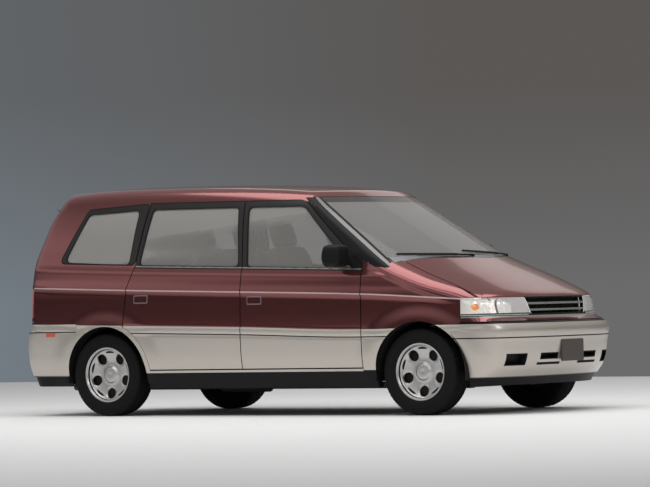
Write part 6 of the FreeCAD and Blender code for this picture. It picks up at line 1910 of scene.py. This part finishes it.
@dataclass
class TailWork:
    """Liftgate with its glass, and the rear bumper."""

    gate_low: float = 706.0
    gate_top: float = 1619.0
    gate_foot: float = 730.0
    gate_head: float = 580.0
    belt: float = 1112.0
    stripe: float = 974.0
    stripe_reach: float = 728.0
    stripe_lift: float = 0.6
    window: Corners = ((-639, 1133), (639, 1133), (525, 1560), (-525, 1560))
    window_round: float = 44.0
    edge_points: int = 14
    handle: tuple[Pair, Pair] = ((-150.0, 150.0), (742.0, 786.0))
    glass_sink: float = 7.0
    bumper_top: float = 697.0
    bumper_low: float = 300.0
    bumper_start: float = -1603.5
    corner_guess: float = -2150.0
    bands: tuple[tuple[float, float, int, Tone], ...] = (
        (300.0, 308.0, 3, Tone.LINE), (308.0, 634.0, 24, Tone.SILVER), (634.0, 642.0, 3, Tone.BLACK),
        (642.0, 697.0, 8, Tone.SILVER))
    recess: tuple[float, float, float, float] = (172.0, 442.0, 92.0, -2213.0)
    dam_low: float = 225.0
    dam_sink: float = 12.0
    shelf: Pair = (34.0, 0.975)
    marker_sides: Pair = (-1905.0, -1815.0)
    marker_heights: Pair = (604.0, 632.0)
    marker_lift: float = 2.0

    @staticmethod
    def on_tail(y: Array, z: Array) -> Array:
        """Points of the tail, settled on the rounded body, in both halves."""
        return both_halves(stacked(FORM.rear(y, z), y, z), False)

    def gate(self) -> Shell:
        """Liftgate's outer skin: lower panel, frame round its window, stripe and handle recess."""
        foot, head = self.gate_foot, self.gate_head
        y, t = span(-foot, foot, 61, 26)
        panel = self.on_tail(y, self.gate_low + (self.belt - self.gate_low) * t)
        shell = Shell().grid(panel, Tone.MAROON, Way.REAR)
        corners = ((-foot, self.belt), (foot, self.belt), (head, self.gate_top), (-head, self.gate_top))
        edges = [outline(self.window, 40.0, self.edge_points),
                 outline(grown(self.window, 12.0), self.window_round, self.edge_points),
                 outline(corners, 3.0, self.edge_points)]
        for inner, outer, rows, tone in zip(edges, edges[1:], (2, 8), (Tone.BLACK, Tone.MAROON)):
            points = loop_grid(inner, outer, rows)
            shell.grid(self.on_tail(points[..., 0], points[..., 1]), tone, Way.REAR)
        y, t = span(-self.stripe_reach, self.stripe_reach, 61, 3)
        line = self.on_tail(y, self.stripe + SEAMS.stripe_half
                            * (2 * t - 1)) - np.array([self.stripe_lift, 0, 0])
        shell.grid(line, Tone.STRIPE, Way.REAR)
        rows = filled(outline(rectangle(*self.handle), 12.0), 4)
        return shell.grid(self.on_tail(rows[..., 0], rows[..., 1]) - np.array([1.2, 0, 0]), Tone.BLACK,
                          Way.REAR)

    def glass(self) -> Shell:
        """Pane of the liftgate."""
        rows = filled(outline(grown(self.window, 8.0), self.window_round, self.edge_points), 10)
        pane = self.on_tail(rows[..., 0], rows[..., 1]) + np.array([self.glass_sink, 0, 0])
        return Shell().grid(pane, 0, Way.REAR)

    def rows(self, z: Array) -> Array:
        """Rows from the arch along the side and across the tail to the middle."""
        arch = upright_below(circle_end(FORM.rear_wheel, FORM.arch, -1), FORM.rear_wheel[1])
        corner = corner_at(z, False, self.corner_guess)
        first = np.minimum(arch(z), self.bumper_start)
        return wrapped(z, first, corner, corner[1] * (1 - even(34)[1:, None]), 14, False)

    def bumper(self) -> Shell:
        """Rear bumper from the wheel arch to the middle, with groove, plate recess, dam and step."""
        shell = Shell()
        half, middle, tall, floor = self.recess
        for low, high, rows, tone in self.bands:
            grid = self.rows(np.linspace(low, high, rows))
            behind = (np.abs(grid[..., 1]) < half) & (np.abs(grid[..., 2] - middle) < tall)
            grid[..., 0] = np.where(behind, np.maximum(grid[..., 0], floor), grid[..., 0])
            shell.grid(grid, tone, Way.REAR_CORNER)
        dam = self.rows(np.linspace(self.dam_low, self.bumper_low, 5))
        shell.grid(dam + np.array([self.dam_sink, -self.dam_sink, 0]), Tone.BLACK, Way.REAR_CORNER)
        edge = self.rows(np.array([self.bumper_top]))[:, 0]
        deep, narrow = self.shelf
        inner = edge * np.array([1, narrow, 1]) + np.array([deep, 0, 0])
        return shell.grid(np.stack([edge, inner]), Tone.SILVER, Way.TOP)

    def marker(self) -> Shell:
        """Amber side marker on the bumper's side."""
        x, z = np.meshgrid(np.linspace(*self.marker_sides, 10), np.linspace(*self.marker_heights, 4))
        return Shell().grid(on_side(x, z) + np.array([0, self.marker_lift, 0]), 0, Way.SIDE)

    def build(self) -> None:
        """Builds the tail's pieces."""
        both = tuple(Side)
        piece("liftgate_panel", self.gate(), BODY_FINISHES, "liftgate", ["liftgate"],
              depth=26.0, inner=Tone.LINING, rim=Tone.BLACK, way=Way.FRONT)
        piece("liftgate_pane", self.glass(), [STOCK.glass], "liftgate", ["liftgate_glass"],
              depth=4.0, way=Way.FRONT)
        piece("rear_bumper_skin", self.bumper(), BODY_FINISHES, "car", ["rear_bumper"], both,
              8.0, Tone.BLACK, Tone.BLACK)
        piece("side_markers", self.marker(), [STOCK.orange], "car", sides=both, depth=4.0)


def signed_power(value: Array, power: float) -> Array:
    """The value raised to a power, with its sign kept."""
    return np.sign(value) * np.abs(value) ** power


def blob(centre: Sequence[float], half: Sequence[float], square: float = 0.35, lean: float = 0.0,
         taper: float = 0.0, rows: int = 25, columns: int = 49) -> Array:
    """Rounded block: a superellipsoid whose sines and cosines are raised to `square`, leant back and tapered.

    Args:
        centre: middle of the block.
        half: half sizes.
        square: power; small values give a squarer block.
        lean: turn about the Y axis in degrees, tops moving to the rear.
        taper: share by which the width shrinks towards the top.
        rows, columns: points from foot to top and around.

    Returns:
        Closed grid.
    """
    v, u = np.meshgrid(np.linspace(-math.pi / 2, math.pi / 2, rows), np.linspace(-math.pi, math.pi, columns),
                       indexing="ij")
    flat = signed_power(np.cos(v), square)
    unit = stacked(flat * signed_power(np.cos(u), square), flat * signed_power(np.sin(u), square),
                   signed_power(np.sin(v), square))
    x, y, z = np.moveaxis(unit * np.array(half), -1, 0)
    y = y * (1 - taper * (unit[..., 2] + 1) / 2)
    c, s = math.cos(math.radians(lean)), math.sin(math.radians(lean))
    return stacked(x * c - z * s, y, x * s + z * c) + np.array(centre)


@dataclass
class Wheel:
    """One wheel with its tyre, drawn as a left wheel round its own centre."""

    name: str
    place: Pair
    side: Side
    radius: float = 312.0
    half: float = 100.0
    rim: float = 196.0
    hole_place: float = 0.715
    hole: float = 0.20
    holes: int = 5
    hole_turn: float = -90.0
    disc_ends: Pair = (0.42, 0.92)
    disc_edge: float = 2.0
    disc_shares: Shares = ((0.0, 0.235), (0.13, 0.245), (0.27, 0.235), (0.34, 0.16), (0.45, 0.15),
                           (0.75, 0.19), (0.90, 0.24), (0.96, 0.28), (1.0, 0.40))
    hole_sink: float = 4.0
    far: float = 1e9
    small: float = 1e-9
    lip: Corners = ((190, 74), (197, 84), (204, 86), (208, 84), (208, 78), (200, 72))
    well: Corners = ((190, 74), (188, 50), (184, 0), (184, -60), (196, -84), (207, -85), (207, -78))
    brake: Corners = ((0, 16), (90, 20), (150, 14), (186, 14))
    slot: tuple[float, float, float] = (0.87, 8.0, 40.0)
    slot_turn: float = 90.0
    wall: Shares = ((0.655, 0.80), (0.672, 0.90), (0.70, 0.955), (0.725, 0.975), (0.735, 0.955),
                    (0.75, 0.985), (0.80, 1.0), (0.86, 0.995), (0.875, 0.975), (0.885, 0.99), (0.93, 0.955),
                    (0.965, 0.90), (0.985, 0.83))
    tread: tuple[float, float] = (0.78, 0.012)
    grooves: Pair = (0.18, 0.52)
    groove: Pair = (0.045, 0.022)
    sipes: int = 60
    sipe_slant: float = 90.0
    sipe: tuple[float, float, float, float] = (0.17, 0.93, 0.955, 0.014)
    middle_rib: float = 18.0

    def face(self, r: Array) -> Array:
        """Outer face of the disc: reach outwards for each radius."""
        return self.rim * monotone(self.disc_shares, r / self.rim)

    def ring_edge(self, way: Array, inner: float, outer: float) -> Array:
        """Distance from the hole's middle to the edge of its fifth of the disc, in each direction."""
        at = self.hole_place * self.rim
        tangent = math.tan(math.pi / self.holes)
        c, s = np.cos(way), np.sin(way)
        far = -at * c + np.sqrt(at * at * c * c - (at * at - outer ** 2))
        room = at * at * c * c - (at * at - inner ** 2)
        near = np.where((room > 0) & (c < 0), -at * c - np.sqrt(np.maximum(room, 0)), self.far)
        edges = [far, near]
        for sign in (1, -1):
            run = s - sign * tangent * c
            reach = sign * tangent * at / np.where(np.abs(run) < self.small, self.small, run)
            edges.append(np.where(reach > 0, reach, self.far))
        return np.minimum.reduce(edges)

    def disc(self) -> Shell:
        """Disc with its holes: a ring of rows from each hole to the edge of its share of the disc."""
        shell = Shell()
        at = self.hole_place * self.rim
        inner, outer = (share * self.rim for share in self.disc_ends)
        step = math.pi / self.holes
        corner = [math.atan2(r * math.sin(step), r * math.cos(step) - at) for r in (inner, outer)]
        way = np.sort(np.concatenate([np.linspace(-math.pi, math.pi, 65)[:-1], corner, [-c for c in corner]]))
        way = np.append(way, way[0] + 2 * math.pi)
        t = even(7)[:, None]
        reach = self.hole * self.rim * (1 - t) + self.ring_edge(way, inner, outer) * t
        x, z = at + reach * np.cos(way), reach * np.sin(way)
        for k in range(self.holes):
            a = math.radians(self.hole_turn) + 2 * step * k
            px, pz = x * math.cos(a) - z * math.sin(a), x * math.sin(a) + z * math.cos(a)
            dish = self.face(np.hypot(px, pz)) - self.hole_sink * (1 - ease(t * 3))
            shell.grid(stacked(px, dish, pz), 0, Way.SIDE)
        for low, high, rows in ((0.0, inner, 14), (outer, self.rim - self.disc_edge, 6)):
            r = np.linspace(low, high, rows)
            shell.grid(turned(np.stack([r, self.face(r)], 1), 100), 0, Way.SIDE)
        return shell

    def barrel(self) -> Shell:
        """Rim's bright lip, its well and the brake disc in it, both black as painted shade inside the wheel.
        """
        shell = Shell().grid(turned(np.array(self.lip, float), 100), 0)
        # Finish 1 is black: painted shade on the well and the brake disc.
        shell.grid(turned(np.array(self.well, float), 100), 1)
        return shell.grid(turned(np.array(self.brake, float), 60), 1, Way.SIDE)

    def slots(self) -> Shell:
        """Narrow slots between the holes, drawn as black patches on the disc's face: painted shade of the
        openings.
        """
        shell = Shell()
        place, wide, long = self.slot
        angle, t = span(0, 2 * math.pi, 25, 3)
        r, w = place * self.rim + wide * t * np.cos(angle), long * t * np.sin(angle)
        for k in range(self.holes):
            a = math.radians(self.slot_turn) + 2 * math.pi / self.holes * k + w / r
            shell.grid(stacked(r * np.cos(a), self.face(r) + 1.0, r * np.sin(a)), 0, Way.SIDE)
        return shell

    def tyre(self) -> Shell:
        """Tyre: a revolved profile whose tread is cut by grooves and slanted sipes."""
        reach, crown = self.tread
        y = np.linspace(reach, -reach, 53)
        near = np.abs(np.abs(y)[:, None] - np.array(self.grooves)).min(1)
        width, deep = self.groove
        tread = np.stack([1.0 - crown * y * y - np.where(near < width, deep, 0.0), y], 1)
        wall = np.array(self.wall)
        profile = np.concatenate([wall, tread, wall[::-1] * np.array([1, -1])])
        points = turned(profile * np.array([self.radius, self.half]), 360)
        x, y, z = np.moveaxis(points, -1, 0)
        phase = (np.arctan2(z, x) * self.sipes / (2 * math.pi) + np.abs(y) / self.sipe_slant) % 1.0
        open_share, edge, top, depth = self.sipe
        cut = (phase < open_share) & (np.abs(y) < edge * self.half) & (np.hypot(x, z) > top * self.radius)
        shrink = 1 - depth * cut * (np.abs(y) > self.middle_rib)
        return Shell().grid(stacked(x * shrink, y, z * shrink), 0)

    def put(self, shell: Shell) -> Shell:
        """Moves the drawn grids to the wheel's place."""
        shift = np.array([*self.place, self.radius])
        return Shell([p + shift for p in shell.points], shell.faces, shell.tones, shell.count)

    def build(self) -> None:
        """Builds the wheel and its tyre."""
        label = f"{self.name}_{self.side.word}"
        body, sides = f"wheel_{label}", (self.side,)
        piece(f"alloy_{label}", self.put(self.disc()), [STOCK.alloy, STOCK.iron], body, [body],
              sides, 12.0, 0, 0, Way.INNER)
        piece(f"rim_{label}", self.put(self.barrel()), [STOCK.alloy, STOCK.black], body,
              sides=sides)
        piece(f"slots_{label}", self.put(self.slots()), [STOCK.black], body, sides=sides)
        piece(f"rubber_{label}", self.put(self.tyre()), [STOCK.rubber], body, [f"tyre_{label}"],
              sides, sharp=24.0)


@dataclass
class DoorMirror:
    """Door mirror: rounded housing, stem, sail and glass."""

    centre: Spot = (845.0, 990.0, 1156.0)
    half: Spot = (76.0, 90.0, 80.0)
    square: float = 0.42
    taper: float = 0.12
    stem: tuple[Spot, Spot] = ((825.0, 868.0, 1120.0), (835.0, 930.0, 1128.0))
    stem_radius: float = 26.0
    sail: Corners = ((918, 1086), (797, 1203), (728, 1208), (726, 1088))
    sail_round: float = 10.0
    sail_lift: float = 4.0
    face: Corners = ((-70, -50), (70, -50), (62, 50), (-64, 50))
    face_round: float = 26.0

    def housing(self) -> Shell:
        """Housing, stem and sail."""
        shell = Shell().grid(blob(self.centre, self.half, self.square, 0.0, self.taper), 0)
        path = stretch(*np.array(self.stem), 8)
        shell.grid(capped(tube(path, self.stem_radius, 16)), 0)
        rows = filled(outline(self.sail, self.sail_round), 5)
        return shell.grid(on_side(rows[..., 0], rows[..., 1]) + np.array([0, self.sail_lift, 0]), 0, Way.SIDE)

    def glass(self) -> Shell:
        """Mirror glass in the housing's rear."""
        x, y, z = self.centre
        rows = filled(outline([(y + a, z + b) for a, b in self.face], self.face_round), 4)
        return Shell().grid(stacked(x - self.half[0] - 1.0, rows[..., 0], rows[..., 1]), 0, Way.REAR)

    def build(self) -> None:
        """Builds both mirrors."""
        for side in Side:
            body = f"front_door_{side.word}"
            piece(f"mirror_housing_{side.word}", self.housing(), [STOCK.black], body,
                  [f"door_mirror_{side.word}"], (side,))
            piece(f"mirror_glass_{side.word}", self.glass(), [STOCK.bright], body, sides=(side,), depth=1.5)


@dataclass(frozen=True)
class Seat:
    """Padded seat: cushion, leant back and headrests, from the place of its front edge."""

    x: float
    y: float
    half: float
    low: float
    rests: tuple[float, ...]
    lean: float = 18.0
    square: float = 0.30
    taper: float = 0.10
    cushion: Pair = (248.0, 74.0)
    cushion_place: Pair = (250.0, 75.0)
    back_foot: Pair = (420.0, 140.0)
    back: Pair = (60.0, 290.0)
    back_middle: float = 272.0
    rest: Spot = (46.0, 125.0, 94.0)
    rest_square: float = 0.42
    rest_place: Pair = (12.0, 664.0)

    def shell(self) -> Shell:
        """The seat's rounded blocks."""
        back, rise = self.cushion_place
        middle = (self.x - back, self.y, self.low + rise)
        shell = Shell().grid(blob(middle, (self.cushion[0], self.half, self.cushion[1]), self.square), 0)
        a = math.radians(self.lean)
        foot = np.array([self.x - self.back_foot[0], self.low + self.back_foot[1]])
        up = np.array([-math.sin(a), math.cos(a)])
        x, z = foot + up * self.back_middle
        shell.grid(blob((x, self.y, z), (self.back[0], self.half, self.back[1]), self.square, self.lean,
                        self.taper), 0)
        x, z = foot + up * self.rest_place[1]
        size = (self.rest[0], min(self.half / 2, self.rest[1]), self.rest[2])
        for at in self.rests:
            shell.grid(blob((x + self.rest_place[0], at, z), size, self.rest_square, self.lean, self.taper),
                       0)
        return shell


@dataclass
class Cabin:
    """Seats, dashboard and steering wheel."""

    front: Seat = Seat(565.0, 365.0, 250.0, 560.0, (365.0,))
    middle: Seat = Seat(-240.0, 0.0, 540.0, 560.0, (-280.0, 280.0))
    rear: Seat = Seat(-1030.0, 0.0, 540.0, 650.0, (-280.0, 280.0))
    fill: float = 0.7
    dash_edge: Corners = ((990, 1058), (893, 1084), (730, 1052), (664, 979), (683, 865), (772, 728),
                          (990, 694))
    dash_round: float = 40.0
    dash_half: Pair = (764.0, 766.0)
    dash_end: float = 0.96
    hood: tuple[Spot, Spot] = ((712.0, 365.0, 1085.0), (62.0, 185.0, 34.0))
    column: tuple[Spot, Spot] = ((601.0, 365.0, 970.0), (801.0, 365.0, 855.0))
    column_radius: float = 32.0
    wheel_centre: Spot = (575.0, 365.0, 985.0)
    wheel_lean: float = 30.0
    wheel_radius: Pair = (180.0, 13.0)
    spokes: tuple[float, ...] = (-15.0, 90.0, 195.0)
    spoke: Pair = (178.0, 11.0)
    hub: Spot = (22.0, 62.0, 58.0)
    hub_sink: float = 8.0

    def dash(self) -> Shell:
        """Dashboard with a rounded edge, the hood over its instruments and the column."""
        edge = outline(self.dash_edge, self.dash_round, 6, 6)
        inner, outer = self.dash_half
        y = np.concatenate([[-outer], np.linspace(-inner, inner, 40), [outer]])[:, None]
        shrink = np.where(np.abs(y) > inner, self.dash_end, 1.0)
        x, z = (edge.mean(0)[k] + (edge[:, k] - edge.mean(0)[k]) * shrink for k in (0, 1))
        shell = Shell().grid(capped(closed(stacked(x, y, z))), 0)
        shell.grid(blob(*self.hood, 0.5), 0)
        return shell.grid(capped(tube(stretch(*np.array(self.column), 12), self.column_radius, 20)), 0)

    def wheel(self) -> Shell:
        """Steering wheel: rim, three spokes and a padded hub."""
        a = math.radians(self.wheel_lean)
        axis, side = np.array([-math.cos(a), 0, math.sin(a)]), np.array([0.0, 1.0, 0.0])
        up = np.cross(side, axis)
        centre = np.array(self.wheel_centre)
        radius, thick = self.wheel_radius
        angle = np.linspace(0, 2 * math.pi, 73)[:-1, None]
        shell = Shell().grid(tube(centre + radius * (np.cos(angle) * side + np.sin(angle) * up), thick, 14,
                                  True), 0)
        reach, thick = self.spoke
        for turn in self.spokes:
            way = side * math.cos(math.radians(turn)) - up * math.sin(math.radians(turn))
            shell.grid(capped(tube(centre + way * reach * even(10)[:, None], thick, 12)), 0)
        return shell.grid(blob(centre - axis * self.hub_sink, self.hub, 0.6, -self.wheel_lean), 0)

    def build(self) -> None:
        """Builds the cabin's pieces."""
        seats = [piece(f"front_seat_{side.word}", self.front.shell(), [STOCK.cloth], "car", ["front_seats"],
                       (side,)) for side in Side]
        seats.append(piece("middle_seat", self.middle.shell(), [STOCK.cloth], "car", ["middle_seats"]))
        seats.append(piece("rear_seat", self.rear.shell(), [STOCK.cloth], "car", ["rear_bench"]))
        piece("dashboard_skin", self.dash(), [STOCK.trim], "car", ["dashboard"])
        piece("steering_wheel_rim", self.wheel(), [STOCK.grained], "steering_wheel", ["steering_wheel"])


@dataclass
class Liners:
    """Wheel arch liners: a bent sheet over each wheel, and its inner wall."""

    front_inner: float = 500.0
    rear_inner: float = 560.0
    outer: float = 868.0
    offset: float = 7.0
    ends: Pair = (-8.0, 188.0)
    wall_start: float = 0.25

    def sheet(self, centre: Pair, inner: float) -> Shell:
        """Sheet at the arch's radius from the inner wall to the skin, and the wall itself."""
        angle = np.radians(np.linspace(*self.ends, 49))[None, :]
        x, z = ((FORM.arch + self.offset) * turn for turn in (np.cos(angle), np.sin(angle)))
        y = np.linspace(inner, self.outer, 8)[:, None]
        shell = Shell().grid(stacked(centre[0] + x, y, centre[1] + z), 0)
        share = np.linspace(self.wall_start, 1.0, 6)[:, None]
        return shell.grid(stacked(centre[0] + x * share, inner, centre[1] + z * share), 0, Way.SIDE)

    def build(self) -> None:
        """Builds the liners of both sides."""
        for name, centre, inner in (("front", FORM.front_wheel, self.front_inner),
                                    ("rear", FORM.rear_wheel, self.rear_inner)):
            piece(f"arch_liner_{name}", self.sheet(centre, inner), [STOCK.under], "car", sides=tuple(Side),
                  depth=2.0)


@dataclass
class Underbody:
    """CAD nodes that stay in view, dressed with their finishes."""

    dark: tuple[str, ...] = ("floor_pan", "seat_frames")
    metal: tuple[str, ...] = ("front_suspension", "rear_axle", "knuckle_left", "knuckle_right", "engine",
                              "exhaust", "fuel_tank", "radiator")

    def build(self) -> None:
        """Gives each node its finish."""
        for names, finish in ((self.dark, STOCK.under), (self.metal, STOCK.iron)):
            for name in names:
                node = frame["nodes"][name]
                node.data.materials.clear()
                node.data.materials.append(finish)


AXLES = (("front", (1455.0, 762.0)), ("rear", (-1349.0, 769.5)))


def main() -> None:
    """Builds the studio and the whole vehicle."""
    logging.basicConfig(level=logging.INFO, format="%(message)s")
    wheels = [Wheel(name, place, side) for name, place in AXLES for side in Side]
    for part in (Studio(), Doors(), Shellwork(), NoseWork(), TailWork(), *wheels, DoorMirror(), Cabin(),
                 Liners(), Underbody()):
        part.build()
        LOG.info("%s built", type(part).__name__)
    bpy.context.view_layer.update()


if __name__ == "__main__":
    main()
